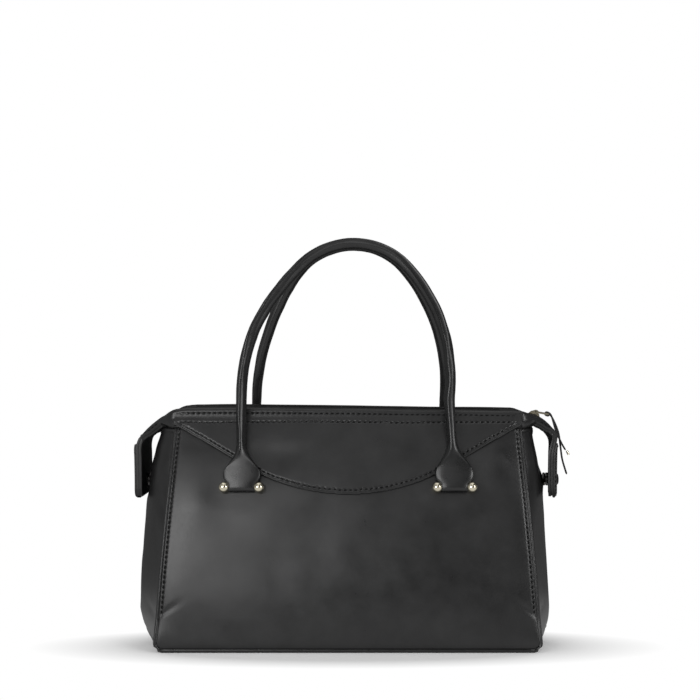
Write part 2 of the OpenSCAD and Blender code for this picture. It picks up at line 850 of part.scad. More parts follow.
function squircle(angle, roundness) =
  let (c = cos(angle), s = sin(angle))
    [sign(c) * pow(abs(c), roundness), sign(s) * pow(abs(s), roundness)];

module flare() {
  low = loop_h + seam_gap;
  high = flare_h - seam_gap;
  rings = len(flare_shares);
  points = [
    for (f = flare_shares, k = [0:flare_sides - 1])
      let (
        p = squircle(360 * k / flare_sides, f[2]),
        half = roll_d / 2 + (flare_w - roll_d) / 2 * f[1],
        thick = loop_d / 2 + (roll_d - loop_d) / 2 * f[0])
          [p[0] * half, p[1] * thick, low + f[0] * (high - low)]];
  floor_ring = [for (k = [0:flare_sides - 1]) k];
  top_ring = [for (k = [flare_sides - 1:-1:0]) (rings - 1) * flare_sides + k];
  polyhedron(points, concat(skin_faces(rings, flare_sides, 0, true), [floor_ring, top_ring]));
}

module handle_flares() {
  color(leather)
    on_handle()
      for (side = [-1, 1])
        translate([side * handle_w / 2, 0, 0]) flare();
}

// A stud is a ball on a shank that passes through the wall, with a hole for the bar's end
bar_depth = 2.2;

module studs() {
  color(pale_gold)
    difference() {
      at_studs() {
        sphere(d = ball_d, $fn = round_fn);
        translate([0, 0, -inner_stack]) cylinder(d = shank_d, h = inner_stack, $fn = round_fn);
      }
      bars(2 * run_gap, seam_gap);
    }
}

module bars(wider = 0, longer = 0) {
  bar_len = stud_spacing - ball_d + 2 * bar_depth + 2 * longer;
  color(pale_gold)
    for (side = [-1, 1])
      translate([side * handle_w / 2, -bar_out, bar_h])
        rotate([0, 90, 0]) cylinder(d = bar_d + wider, h = bar_len, center = true, $fn = round_fn);
}

module washers() {
  color(pale_gold)
    at_studs()
      translate([0, 0, -inner_stack - washer_t])
        difference() {
          cylinder(d = washer_d, h = washer_t, $fn = round_fn);
          translate([0, 0, -overrun])
            cylinder(d = shank_d + 2 * run_gap, h = washer_t + 2 * overrun, $fn = round_fn);
        }
}

// The screw's head closes the shank and clamps the washer
module screws() {
  color(pale_gold)
    at_studs()
      translate([0, 0, -inner_stack - washer_t - seam_gap - screw_head_t])
        cylinder(d = screw_head_d, h = screw_head_t, $fn = round_fn);
}

base_panel();
base_board();
base_lining();
wall_panel();  // front_panel
front(true) wall_panel();  // back_panel
wall_lining();  // front_lining
front(true) wall_lining();  // back_lining
right(true) gusset();  // left_gusset
gusset();  // right_gusset
right(true) gusset_lining();  // left_gusset_lining
gusset_lining();  // right_gusset_lining
right(true) gusset_binding();  // left_gusset_binding
gusset_binding();  // right_gusset_binding
yoke();  // front_yoke
front(true) yoke();  // back_yoke
right(true) seam_edge();  // front_left_seam_edge
seam_edge();  // front_right_seam_edge
front(true) right(true) seam_edge();  // back_left_seam_edge
front(true) seam_edge();  // back_right_seam_edge
zip_facing();  // front_zip_facing
front(true) zip_facing();  // back_zip_facing
right(true) wing();  // left_wing
wing();  // right_wing
zip_tapes();
front(true) zip_teeth(0);  // front_zip_teeth
zip_teeth(1 / 2);  // back_zip_teeth
zip_stops();
right(true) snap_stud();  // left_snap_stud
snap_stud();  // right_snap_stud
studs();  // front_studs
front(true) studs();  // back_studs
bars();  // front_bars
front(true) bars();  // back_bars
union() {  // stud_washers
  washers();
  front(true) washers();
}
union() {  // stud_screws
  screws();
  front(true) screws();
}
wall_stay();  // front_stay
front(true) wall_stay();  // back_stay
handle_roll();  // front_handle_roll
handle_core();  // front_handle_core
handle_flares();  // front_handle_flares
handle_loops();  // front_handle_loops
front(true) handle_roll();  // back_handle_roll
front(true) handle_core();  // back_handle_core
front(true) handle_flares();  // back_handle_flares
front(true) handle_loops();  // back_handle_loops
right(true) tab_strap();  // left_tab_strap
right(true) tab_backing();  // left_tab_backing
right(true) tab_patch();  // left_tab_patch
right(true) snap_cap();  // left_snap_cap
right(true) snap_socket();  // left_snap_socket
tab_strap();  // right_tab_strap
tab_backing();  // right_tab_backing
tab_patch();  // right_tab_patch
snap_cap();  // right_snap_cap
snap_socket();  // right_snap_socket
slider();
pull_link();
pull_tail(upper_path, -1);  // pull_upper_tail
pull_tail(lower_path, 1);  // pull_lower_tail
pull_tip();
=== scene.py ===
"""A black leather top handle bag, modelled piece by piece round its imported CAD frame."""
import math

import bpy
import numpy as np
from mathutils import Matrix, Vector, noise


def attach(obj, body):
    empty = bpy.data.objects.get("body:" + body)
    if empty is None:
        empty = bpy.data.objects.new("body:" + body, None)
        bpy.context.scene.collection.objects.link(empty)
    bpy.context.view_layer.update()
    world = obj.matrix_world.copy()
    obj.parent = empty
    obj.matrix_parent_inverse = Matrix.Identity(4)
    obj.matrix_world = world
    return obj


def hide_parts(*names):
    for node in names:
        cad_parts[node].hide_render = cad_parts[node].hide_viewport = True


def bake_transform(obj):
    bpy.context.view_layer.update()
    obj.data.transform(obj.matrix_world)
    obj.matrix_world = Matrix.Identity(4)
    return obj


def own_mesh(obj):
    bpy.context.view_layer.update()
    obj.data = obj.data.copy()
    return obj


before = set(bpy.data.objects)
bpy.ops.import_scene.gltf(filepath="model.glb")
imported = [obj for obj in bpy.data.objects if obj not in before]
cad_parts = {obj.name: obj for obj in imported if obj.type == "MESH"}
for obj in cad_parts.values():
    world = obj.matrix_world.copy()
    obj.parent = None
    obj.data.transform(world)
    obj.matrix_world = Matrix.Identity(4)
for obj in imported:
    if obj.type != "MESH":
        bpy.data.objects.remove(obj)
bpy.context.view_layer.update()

bl_info = {
    "name": "Leather top handle bag",
    "version": (1, 0, 0),
    "blender": (4, 5, 0),
    "location": "3D View > Sidebar > Bag",
    "description": "Builds a black leather top handle bag and its studio round a packed CAD frame",
    "category": "Add Mesh",
}

MM = 0.001

# Sizes in millimetres, as in the part's source
BASE_T = 3.0
PANEL_T = 2.2
YOKE_T = 1.8
PANEL_LOW = 3.1
PANEL_TOP = 182.0
GUSSET_H = 170.0
CREST_H = 187.0
WALL_R = 459.898
WALL_OUT = -383.727
WALL_H = -29.794
YOKE_LOW_H = 120.5
YOKE_SIDE_H = 171.8
SCALLOP_HALF = 70.0
SCALLOP_R = 188.232
STUD_X = (85.0, 13.9)
BAR_OUT = 53.804
BAR_H = 125.572
BALL_R = 4.3
HANDLE_LEAN = math.radians(13.7295)
LEG_X = 85.0
LEG_TOP = 76.5
SIDE_R = 163.542
SIDE_ANGLE = math.radians(41.9116)
ARCH_R = 58.0
APEX_H = 205.0
ROLL_R = 5.0
TAB_HALF = 22.0
TAB_LOW_H = 111.0
PATCH_H = 157.0
SLOT_END = 166.5
ZIP_HALF = 7.0
FACING_H = 179.95
FACING_END = 140.05
STRAP_T = 2.3
BACKING_T = 2.0
PATCH_T = 1.5
LINK_END = (169.51, 180.35)
TAB_CORNER = 9.0
TAB_TURN = 5.2
BACKING_FROM = 150.5
SEWN_IN = 2.6
CORD_R = 3.2
CORD_FROM = 30
RIM_HALF = 142
YOKE_SLOPE = 0.537
YOKE_STITCH = 4.2
CREST_STITCH = 4.4
ZIP_STITCH = 3.4
STRAP_STITCH = 3.8

# Lines of the soft leather, read from the photograph in millimetres
STRAP_ROUTES = {
    -1: [(132.0, 186.6), (136.0, 186.3), (141.0, 185.7), (146.0, 184.7), (150.2, 183.3), (154.6, 180.9),
         (160.0, 177.0), (166.0, 172.2),
         (171.2, 166.7), (174.4, 160.8), (175.9, 153.5), (175.7, 145.0), (175.4, 128.0), (175.4, 111.0)],
    1: [(132.0, 184.1), (136.0, 184.05), (141.0, 183.95), (147.0, 183.6), (152.4, 182.7), (158.4, 180.6),
        (164.4, 177.2), (169.6, 172.5),
        (173.4, 167.2), (175.5, 161.4), (176.0, 155.0), (175.7, 147.0), (175.4, 128.0), (175.4, 111.0)]}
STRAP_DROOP = [(140, 12.8), (145, 10.6), (150, 7.8), (155, 5.6), (160, 6.0), (165, 6.0), (170, 3.4),
               (174, 1.0), (176, 0.0)]
CREST_LINE = [
    (-147, -2.6), (-141, -1.3), (-136, -0.7), (-132, -0.4), (-98, 0.0), (0, -1.1), (94, -2.5), (132, -2.9),
    (141, -3.05), (147, -3.4)]
UPPER_TAIL = [
    (169.3, 181.9), (171.4, 180.9), (173.2, 177.8), (174.6, 173.2), (176.0, 168.2), (178.4, 162.0),
    (182.0, 154.6), (184.9, 149.6)]
LOWER_TAIL = [
    (169.3, 181.9), (171.55, 180.5), (175.29, 174.7), (179.37, 164.2), (181.07, 152.2), (182.77, 140.8), (186.4, 128.8)]


# Forms of the cut leather


def smooth(t):
    """A soft step from 0 to 1."""
    t = min(1.0, max(0.0, t))
    return t * t * (3 - 2 * t)


def lerp(a, b, t):
    return a + (b - a) * t


def steps(first, last, count):
    return [first + (last - first) * i / count for i in range(count + 1)]


def reading(x, table):
    """A smooth value at x from a short table of pairs."""
    if x <= table[0][0]:
        return table[0][1]
    for (x0, y0), (x1, y1) in zip(table, table[1:]):
        if x <= x1:
            return lerp(y0, y1, smooth((x - x0) / (x1 - x0)) * 0.5 + (x - x0) / (x1 - x0) * 0.5)
    return table[-1][1]


def lump(a, b, c):
    return noise.noise(Vector((a, b, c)))


def wall_out(h):
    return WALL_OUT + math.sqrt(WALL_R ** 2 - (h - WALL_H) ** 2)


def corner_round(h, r=4.0):
    """How far the lower corners are drawn in at height h."""
    low = PANEL_LOW + r - h
    return r - math.sqrt(r * r - low * low) if low > 0 else 0.0


def panel_half(h):
    return (298.0 - 17.0 * h / GUSSET_H) / 2 - corner_round(max(h, PANEL_LOW))


SWELLS = {
    -1: [(0, 24.0), (7, 25.6), (18, 28.5), (56, 29.3), (70, 28.6), (97, 28.0), (107, 27.8),
         (122, 26.6), (136, 24.2), (150, 21.0), (167, 17.2),
         (170, 16.8)],
    1: [(0, 20.4), (18, 22.4), (60, 22.6), (95, 22.3), (119, 21.2), (129, 20.3), (140, 18.5), (164, 15.2), (170, 14.4)]}


def swell(h, sx):
    """How far a side panel's fold stands out from the seams at height h: the left one is the fuller."""
    return reading(h, SWELLS[sx])


FOLD_FAR = math.hypot(1, 0.15)


def fold(t, h=0.0):
    """The side panel's soft middle fold across its depth, from 0 at the seams to 1: rounder towards the top."""
    sharp = max(0.0, (FOLD_FAR - math.hypot(t, 0.15)) / (FOLD_FAR - 0.15)) ** 1.15
    full = max(0.0, 1 - abs(t) ** 3.2) ** 0.75
    return lerp(sharp, full, smooth((h - 70) / 90))


def crest_fall(x):
    """How far the crests sink below their cut height at x, as the soft mouth of the bag settles."""
    return reading(x, CREST_LINE)


def bulge(x, h, at_x, at_h, wide, tall):
    return math.exp(-((x - at_x) / wide) ** 2 - ((h - at_h) / tall) ** 2)


def slump(x, h, front):
    """How far the soft wall stands proud of its cut shape at one place."""
    softness = bpy.context.scene.bag_body.softness / MM
    seed = 3.7 if front else 11.3
    turn = 1 if front else -1
    edge = panel_half(h) - abs(x)
    held = smooth(edge / 26) * smooth((h - 5) / 22) * smooth((172 - h) / 22)
    for middle in (-LEG_X, LEG_X):
        held *= smooth((math.hypot(x - middle, (h - 124) * 1.3) - 14) / 20)
    wave = 0.6 * lump(x / 88, h / 58, seed) + 0.3 * lump(x / 31, h / 27, seed + 4)
    form = 0.4 * bulge(x, h, -75 * turn, 100, 34, 20) + 0.9 * bulge(x, h, 120 * turn, 145, 14, 18)
    form += (
        0.7 * bulge(x, h, -128 * turn, 125, 14, 30) + 0.5 * bulge(x, h, 0, 45, 100, 36) - 0.5 * bulge(x, h, 95 * turn, 70, 42, 40))
    form -= 0.8 * bulge(x, h, -60 * turn, 150, 26, 14) + 0.8 * bulge(x, h, 62 * turn, 150, 30, 16)
    side = -1.9 * math.exp(-edge / 6.5) * smooth((h - 8) / 20) * smooth((186 - h) / 40)
    crease = math.exp(-((((abs(x) - 142) * 0.75 + (h - 31)) / 2.4) ** 2) - ((abs(x) - 141) / 9) ** 2)
    return softness * held * (wave + form) + side - 0.6 * crease * smooth(h / 12)


def wall_point(x, h, out, front=True):
    """A point on the wall's outer leather, or out from it."""
    lift = math.asin((h - WALL_H) / WALL_R)
    r = WALL_R + out + slump(x, h, front)
    y = WALL_OUT + r * math.cos(lift)
    return Vector((x, -y if front else y, WALL_H + r * math.sin(lift)))


def yoke_low(x):
    """The yoke's lower edge at x."""
    x = abs(x)
    if x < SCALLOP_HALF:
        return YOKE_LOW_H + SCALLOP_R - math.sqrt(SCALLOP_R ** 2 - x * x) - 1.5 * (1 - (x / SCALLOP_HALF) ** 2)
    corner = YOKE_LOW_H + SCALLOP_R - math.sqrt(SCALLOP_R ** 2 - SCALLOP_HALF ** 2)
    side = panel_half(YOKE_SIDE_H)
    t = (x - SCALLOP_HALF) / (side - SCALLOP_HALF)
    soft = 1.2 * math.exp(-((x - SCALLOP_HALF) / 9) ** 2)
    return lerp(corner, YOKE_SIDE_H, t) + soft * 0.3


def yoke_slant(x):
    """How much shorter a step square to the yoke's lower edge is than the same step in height."""
    return math.cos(math.atan(YOKE_SLOPE)) if abs(x) > SCALLOP_HALF else 1.0


class Route:
    """A smooth line through points, read by its length."""

    def __init__(self, points, dense=12):
        pts = [Vector(p) for p in points]
        line = []
        for i in range(len(pts) - 1):
            a, b, c, d = pts[max(i - 1, 0)], pts[i], pts[i + 1], pts[min(i + 2, len(pts) - 1)]
            for k in range(dense):
                t = k / dense
                line.append(
                    0.5 * (2 * b + (c - a) * t + (2 * a - 5 * b + 4 * c - d) * t * t + (3 * b - a - 3 * c + d) * t ** 3))
        line.append(pts[-1])
        self.line = line
        self.marks = [0.0]
        for p, q in zip(line, line[1:]):
            self.marks.append(self.marks[-1] + (q - p).length)
        self.length = self.marks[-1]

    def at(self, s):
        s = min(self.length, max(0.0, s))
        i = min(len(self.marks) - 2, int(np.searchsorted(self.marks, s, side="right")) - 1)
        return self.line[i].lerp(self.line[i + 1], (s - self.marks[i]) / max(1e-9, self.marks[i + 1] - self.marks[i]))

    def way(self, s, reach=0.6):
        return (self.at(s + reach) - self.at(s - reach)).normalized()

    def height_mark(self, z):
        """The length at which the line comes down to height z."""
        for mark, p in zip(self.marks, self.line):
            if p.z <= z:
                return mark
        return self.length


STRAPS = {sx: Route([(x, 0, z) for x, z in route]) for sx, route in STRAP_ROUTES.items()}

# The wall's leather goes on over the crest: its profile from low on the wall to the hem inside
CREST_PROFILE = [(27.35, 182.4), (27.15, 184.6), (26.45, 186.3), (25.3, 187.3), (24.1, 187.55), (22.8, 187.3),
                 (21.3, 186.75)]
BAND = Route(
    [(0, wall_out(h) + (0.1 + YOKE_T) / math.cos(math.asin((h - WALL_H) / WALL_R)), h) for h in steps(116, 180, 16)]
    + [(0, y, z) for y, z in CREST_PROFILE], 6)


def band_mark(z):
    """The band's length from its foot up to height z on the wall."""
    return next((m for m, p in zip(BAND.marks, BAND.line) if p.z >= z), BAND.length)


def band_square(s):
    way = BAND.way(s, 0.5)
    return Vector((0, way.z, -way.y))


# How far each leg of the front (True) and back handle stands aside, by its height over the bar
SWAYS = {
    (True, -1): [(20, 0), (40, -1.0), (60, -1.7), (100, -1.9), (130, -1.5), (150, 0.2), (168, 2.2),
                 (185, 3.6), (205, 4.8)],
    (True, 1): [(20, 0), (45, -1.8), (70, -2.4), (95, -0.4), (125, 2.3), (150, 4.0), (180, 5.2), (205, 4.8)],
    (False, -1): [(18, 0), (45, 2.0), (71, 3.8), (100, 5.8), (128, 7.0), (150, 6.6), (165, 5.4), (180, 4.0),
                  (192, 3.6), (205, 4.8)],
    (False, 1): [(20, 0), (60, 0.4), (100, 1.4), (150, 3.0), (180, 4.4), (205, 4.8)]}

# The share of the strap's root that lies on the facing, from the zip up to the hem
HEM_SHARE = 0.4


def root_profile(share):
    """The strap's section where it leaves the crests: up from the zip, then down the band's own profile."""
    if share < HEM_SHARE:
        t = share / HEM_SHARE
        return lerp(ZIP_HALF, 21.3, t), lerp(FACING_H, 186.75, t)
    at = BAND.at(lerp(BAND.length, band_mark(171.7), (share - HEM_SHARE) / (1 - HEM_SHARE)))
    return at.y, at.z


def tab_round(end):
    """How far the tab's corners are drawn in at a distance from its end."""
    return TAB_CORNER - math.sqrt(max(0.0, TAB_CORNER ** 2 - (TAB_CORNER - end) ** 2)) if end < TAB_CORNER else 0.0


def tab_turn(y, z, sx):
    """How far the right tab's edge stands out at y, as the tab hangs a little turned."""
    return TAB_TURN * math.copysign(max(0.0, abs(y) - 5), y) / (TAB_HALF - 5) * smooth((172 - z) / 26) if sx > 0 else 0.0


def strap_point(s, v, out=0.0, sx=1, bare=False):
    """A point on the strap that runs from the crests over the side and down to the tab's end."""
    strap = STRAPS[sx]
    at, way = strap.at(s), strap.way(s)
    side = -1 if v < 0 else 1
    a = abs(v)
    end = strap.length - s
    half = TAB_HALF - tab_round(end)
    y = a * (half + 5.0 * (1 - smooth((at.x - 143) / 15)))
    lift = -a ** 2.2 * reading(at.x, STRAP_DROOP) * smooth((at.z - 150) / 14)
    root = 1 - smooth((at.x - 142.5) / 16.0)
    share = (a - ZIP_HALF / TAB_HALF) / (1 - ZIP_HALF / TAB_HALF)
    if root > 0:
        y0, z0 = root_profile(share) if share > 0 else (y, FACING_H)
        y = lerp(y, y0, root)
        lift = lerp(lift, z0 + (at.z - CREST_H) * smooth((z0 - 170) / 10) - at.z, root)
    flat = Vector((at.x + tab_turn(side * y, at.z, sx), side * y, at.z + lift))
    if bare:
        return flat
    nose = math.sqrt(max(0.0, 1 - ((3.4 - end) / 3.4) ** 2)) if end < 3.4 and out > 0 else 1.0
    if at.x < 173 and at.z > 150:
        e = 0.02
        across = (
            strap_point(s, side * min(1.0, a + e), 0, sx, True)
            - strap_point(s, side * max(0.0, a - e), 0, sx, True))
        along = strap_point(min(strap.length, s + 0.5), v, 0, sx, True) - strap_point(max(0.0, s - 0.5), v, 0, sx, True)
        face = (along.cross(across) * side).normalized()
    else:
        face = Vector((-way.z, 0, way.x))
    return flat + face * (-1.3 + (out + 1.3) * nose)


# Making and finishing meshes


def clear_selection():
    if bpy.context.object and bpy.context.object.mode != "OBJECT":
        bpy.ops.object.mode_set(mode="OBJECT")
    bpy.ops.object.select_all(action="DESELECT")


def pick(piece):
    clear_selection()
    piece.select_set(True)
    bpy.context.view_layer.objects.active = piece


def finish_with(piece, kind, **settings):
    """Adds a modifier with these settings and applies it."""
    pick(piece)
    modifier = piece.modifiers.new(kind.title(), kind)
    for name, value in settings.items():
        setattr(modifier, name, value)
    bpy.ops.object.modifier_apply(modifier=modifier.name)


def in_edit(piece, *calls):
    """Selects all of a piece in edit mode and runs these operators on it."""
    pick(piece)
    bpy.ops.object.mode_set(mode="EDIT")
    bpy.ops.mesh.select_all(action="SELECT")
    for call, settings in calls:
        call(**settings)
    bpy.ops.object.mode_set(mode="OBJECT")


def formed_grid(name, us, vs, place, drop=None):
    """A flat grid of leather whose points are moved to their places on the form."""
    clear_selection()
    bpy.ops.mesh.primitive_grid_add(x_subdivisions=len(us) - 1, y_subdivisions=len(vs) - 1, size=1)
    piece = bpy.context.object
    piece.name = name
    piece.data.name = name
    co = np.empty(len(piece.data.vertices) * 3)
    piece.data.vertices.foreach_get("co", co)
    co = co.reshape(-1, 3)
    i = np.rint((co[:, 0] + 0.5) * (len(us) - 1)).astype(int)
    j = np.rint((co[:, 1] + 0.5) * (len(vs) - 1)).astype(int)
    gone = {f.index for f in piece.data.polygons if drop(
        float(np.mean([us[i[k]] for k in f.vertices])), float(np.mean([vs[j[k]] for k in f.vertices])))} if drop else ()
    placed = np.array([place(us[a], vs[b]) for a, b in zip(i, j)]) * MM
    piece.data.vertices.foreach_set("co", placed.ravel())
    if gone:
        bpy.ops.object.mode_set(mode="EDIT")
        bpy.ops.mesh.select_all(action="DESELECT")
        bpy.ops.mesh.select_mode(type="FACE")
        bpy.ops.object.mode_set(mode="OBJECT")
        for f in piece.data.polygons:
            f.select = f.index in gone
        bpy.ops.object.mode_set(mode="EDIT")
        bpy.ops.mesh.delete(type="FACE")
        bpy.ops.mesh.select_mode(type="VERT")
        bpy.ops.object.mode_set(mode="OBJECT")
    piece.data.update()
    return piece


def cut_leather(piece, thickness, edge=0.45, flip=False):
    """Gives a formed grid the leather's thickness, inwards, and rounds its cut edges."""
    if flip:
        in_edit(piece, (bpy.ops.mesh.flip_normals, {}))
    for name in ("leather", "edge paint"):
        piece.data.materials.append(finish_named(name))
    finish_with(piece, "SOLIDIFY", thickness=thickness * MM, offset=-1, material_offset_rim=1)
    finish_with(piece, "BEVEL", width=edge * MM, segments=2, limit_method="ANGLE", angle_limit=math.radians(50))
    return piece


def closed_tube(name, sections):
    """A tube through closed rings of points, with its seam merged and both ends capped."""
    rings = len(sections)
    sides = len(sections[0])
    piece = formed_grid(
        name, list(range(sides + 1)), list(range(rings)), lambda u, v: sections[v][u % sides])
    in_edit(piece, (bpy.ops.mesh.remove_doubles, {"threshold": 1e-7}))
    pick(piece)
    bpy.ops.object.mode_set(mode="EDIT")
    bpy.ops.mesh.select_all(action="DESELECT")
    bpy.ops.mesh.select_non_manifold(extend=False)
    bpy.ops.mesh.fill_holes(sides=0)
    bpy.ops.mesh.select_all(action="SELECT")
    bpy.ops.mesh.normals_make_consistent(inside=False)
    bpy.ops.object.mode_set(mode="OBJECT")
    return piece


def joined(whole, part):
    """Joins a part to the piece that it belongs to."""
    if not whole:
        return part
    pick(whole)
    part.select_set(True)
    bpy.ops.object.join()
    return whole


def dress(piece, body, finish, edge=None, stands_for=(), angle=40):
    """Gives a piece its finish, smooth shading, the body it moves with and the nodes it stands for."""
    while len(piece.data.materials) < 2:
        piece.data.materials.append(finish)
    piece.data.materials[0] = finish
    piece.data.materials[1] = edge or finish
    pick(piece)
    bpy.ops.object.shade_smooth_by_angle(angle=math.radians(angle))
    if isinstance(body, str):
        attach(piece, body)
    else:
        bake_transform(piece)
    if stands_for:
        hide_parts(*stands_for)
    return piece


def edge_rows(length, close, wide):
    """Distances from an edge, close together where the stitching lies."""
    rest = max(1, int((length - close[-1]) / wide))
    return list(close) + [close[-1] + (length - close[-1]) * (k + 1) / rest for k in range(rest)]


def channel(distance, at, depth=0.3, width=0.7):
    """The groove that the thread pulls into the leather."""
    return -depth * math.exp(-((distance - at) / width) ** 2)


def stitch_form():
    """One stitch, from a sphere drawn out into a short length of thread."""
    clear_selection()
    bpy.ops.mesh.primitive_uv_sphere_add(segments=7, ring_count=6, radius=1)
    piece = bpy.context.object
    form = np.array([tuple(v.co) for v in piece.data.vertices])
    faces = [tuple(f.vertices) for f in piece.data.polygons]
    bpy.data.objects.remove(piece)
    along = np.sign(form[:, 2]) * np.abs(form[:, 2]) ** 0.7
    return np.stack([along, form[:, 0], form[:, 1]], 1), faces


def stitch_row(name, line, body, pitch=None):
    """A row of thread stitches along a line of places and outward directions."""
    sewing = bpy.context.scene.bag_stitching
    pitch = pitch or sewing.pitch / MM
    r = sewing.thread / MM / 2
    form, faces = stitch_form()
    marks = [0.0]
    for (p, _), (q, _) in zip(line, line[1:]):
        marks.append(marks[-1] + (q - p).length)

    def at(s):
        i = min(len(marks) - 2, max(0, int(np.searchsorted(marks, s, side="right")) - 1))
        t = (s - marks[i]) / max(1e-9, marks[i + 1] - marks[i])
        return line[i][0].lerp(line[i + 1][0], t), line[i][1].lerp(line[i + 1][1], t).normalized()

    count = int(marks[-1] / pitch)
    verts, polys = [], []
    for k in range(count):
        s = (k + 0.5) * pitch
        jog = 0.12 * lump(s * 0.9, 3.1, len(name))
        (p, _), (q, _), (m, up) = at(s - 0.36 * pitch), at(s + 0.36 * pitch), at(s)
        way = (q - p).normalized()
        across = up.cross(way).normalized()
        half = (q - p).length / 2
        lean = Matrix.Rotation(math.radians(7 + 4 * lump(s, 0, 2)), 3, up)
        way, across = lean @ way, lean @ across
        first = len(verts)
        for a, b, c in form:
            sink = 0.34 * a * a
            verts.append((m + way * (a * half) + across * (b * r + jog) + up * (c * r * 0.8 + 0.2 - sink)) * MM)
        polys += [tuple(first + i for i in f) for f in faces]
    mesh = bpy.data.meshes.new(name)
    mesh.from_pydata(verts, [], polys)
    piece = bpy.data.objects.new(name, mesh)
    bpy.context.scene.collection.objects.link(piece)
    in_edit(piece, (bpy.ops.mesh.normals_make_consistent, {"inside": False}))
    return dress(piece, body, finish_named("thread"), angle=80)


# Finishes


class Value:
    """A socket of a finish, so that shader maths reads as an expression."""

    def __init__(self, finish, socket):
        self.finish = finish
        self.socket = socket

    def math(self, operation, other=None, turned=False):
        pair = [self] if other is None else [other, self] if turned else [self, other]
        return self.finish.node("ShaderNodeMath", {"operation": operation}, dict(enumerate(pair)))

    def __add__(self, other):
        return self.math("ADD", other)

    def __sub__(self, other):
        return self.math("SUBTRACT", other)

    def __rsub__(self, other):
        return self.math("SUBTRACT", other, True)

    def __mul__(self, other):
        return self.math("MULTIPLY", other)

    __radd__ = __add__
    __rmul__ = __mul__


class Finish:
    """A material, or the world, whose nodes are added by name."""

    def __init__(self, owner):
        owner.use_nodes = True
        self.tree = owner.node_tree
        self.tree.nodes.clear()

    def node(self, kind, settings=None, sockets=None, out=0):
        node = self.tree.nodes.new(kind)
        for name, value in (settings or {}).items():
            if name == "stops":
                ramp = node.color_ramp
                while len(ramp.elements) < len(value):
                    ramp.elements.new(0.5)
                for element, (place, shade) in zip(ramp.elements, value):
                    element.position = place
                    element.color = (*shade, 1) if isinstance(shade, tuple) else (shade, shade, shade, 1)
            else:
                setattr(node, name, value)
        for key, value in (sockets or {}).items():
            socket = node.inputs[key]
            if isinstance(value, Value):
                self.tree.links.new(value.socket, socket)
            else:
                socket.default_value = value
        return Value(self, node.outputs[out]) if node.outputs else None

    def place(self):
        return self.node("ShaderNodeTexCoord", out="Object")

    def grain(self, where, scale, detail=3.0, rough=0.55, out="Fac"):
        return self.node("ShaderNodeTexNoise", {}, {
            "Vector": where, "Scale": scale, "Detail": detail, "Roughness": rough}, out)

    def cells(self, where, scale, feature="F1", out="Distance"):
        return self.node("ShaderNodeTexVoronoi", {"feature": feature}, {"Vector": where, "Scale": scale}, out)

    def bands(self, where, way, scale, distortion, detail):
        return self.node("ShaderNodeTexWave", {"bands_direction": way}, {
            "Vector": where, "Scale": scale, "Distortion": distortion, "Detail": detail}, "Fac")

    def parts(self, way):
        """The x, y and z of a vector."""
        node = self.node("ShaderNodeSeparateXYZ", {}, {0: way}).socket.node
        return [Value(self, socket) for socket in node.outputs]

    def rays(self):
        """Whether a ray comes from the camera, from a gloss or through a clear piece."""
        node = self.node("ShaderNodeLightPath").socket.node
        return [Value(self, node.outputs[name]) for name in ("Is Camera Ray", "Is Glossy Ray", "Is Transmission Ray")]

    def glow(self, strength):
        return self.node("ShaderNodeEmission", {}, {"Color": (1, 1, 1, 1), "Strength": strength})

    def ramp(self, value, stops):
        return self.node("ShaderNodeValToRGB", {"stops": stops}, {"Fac": value}, "Color")

    def spread(self, value, low, high, to_low=0.0, to_high=1.0):
        return self.node("ShaderNodeMapRange", {}, {
            "Value": value, "From Min": low, "From Max": high, "To Min": to_low, "To Max": to_high}, "Result")

    def blend(self, share, a, b):
        return self.node("ShaderNodeMix", {"data_type": "RGBA"}, {0: share, 6: a, 7: b}, 2)

    def bump(self, height, distance, strength=1.0, under=None):
        sockets = {"Height": height, "Distance": distance, "Strength": strength}
        if under:
            sockets["Normal"] = under
        return self.node("ShaderNodeBump", {}, sockets, "Normal")

    def shade(self, **sockets):
        surface = self.node("ShaderNodeBsdfPrincipled", {}, {k.replace("_", " "): v for k, v in sockets.items()})
        self.node("ShaderNodeOutputMaterial", {}, {"Surface": surface})


def rgba(colour, k=1.0):
    return (colour[0] * k, colour[1] * k, colour[2] * k, 1.0)


def leather_finish(finish, shine=0.0, creased=1.0, grained=1.0):
    """Smooth calf leather: fine pores, a faint pebble, slow waves and a soft, uneven gloss."""
    leather = bpy.context.scene.bag_leather
    where = finish.place()
    pebble = finish.cells(where, 0.55 / leather.grain, "SMOOTH_F1")
    pores = finish.spread(finish.cells(where, 1.1 / leather.grain), 0.0, 0.28)
    wave = finish.grain(where, 13.0, 2.0)
    cloud = finish.grain(where, 60.0, 4.0)
    streak = finish.grain(where, 420.0, 2.0)
    wrinkle = finish.node("ShaderNodeTexNoise", {"noise_type": "RIDGED_MULTIFRACTAL"}, {
        "Vector": where, "Scale": 70.0, "Detail": 3.0, "Roughness": 0.5})
    slow = finish.bump(wave, 0.0009 * creased, 0.5)
    folds = finish.bump(finish.spread(wrinkle, 0.4, 1.6), 0.00016 * creased, 0.35, slow)
    fine = finish.bump(pebble * 0.7 + pores * 0.5 + streak * 0.25, leather.grain_depth, 0.4 * grained, folds)
    colour = finish.blend(finish.spread(cloud, 0.3, 0.75), rgba(leather.colour, 0.85), rgba(leather.colour, 1.25))
    rough = finish.spread(
        cloud * 0.6 + streak * 0.4, 0.3, 0.7, leather.roughness - 0.05 - shine, leather.roughness + 0.07 - shine)
    coat = finish.spread(cloud, 0.3, 0.7, 0.06, 0.16)
    finish.shade(
        Base_Color=colour, Roughness=rough, Coat_Weight=coat, Coat_Roughness=0.3, Normal=fine, Specular_IOR_Level=0.5)


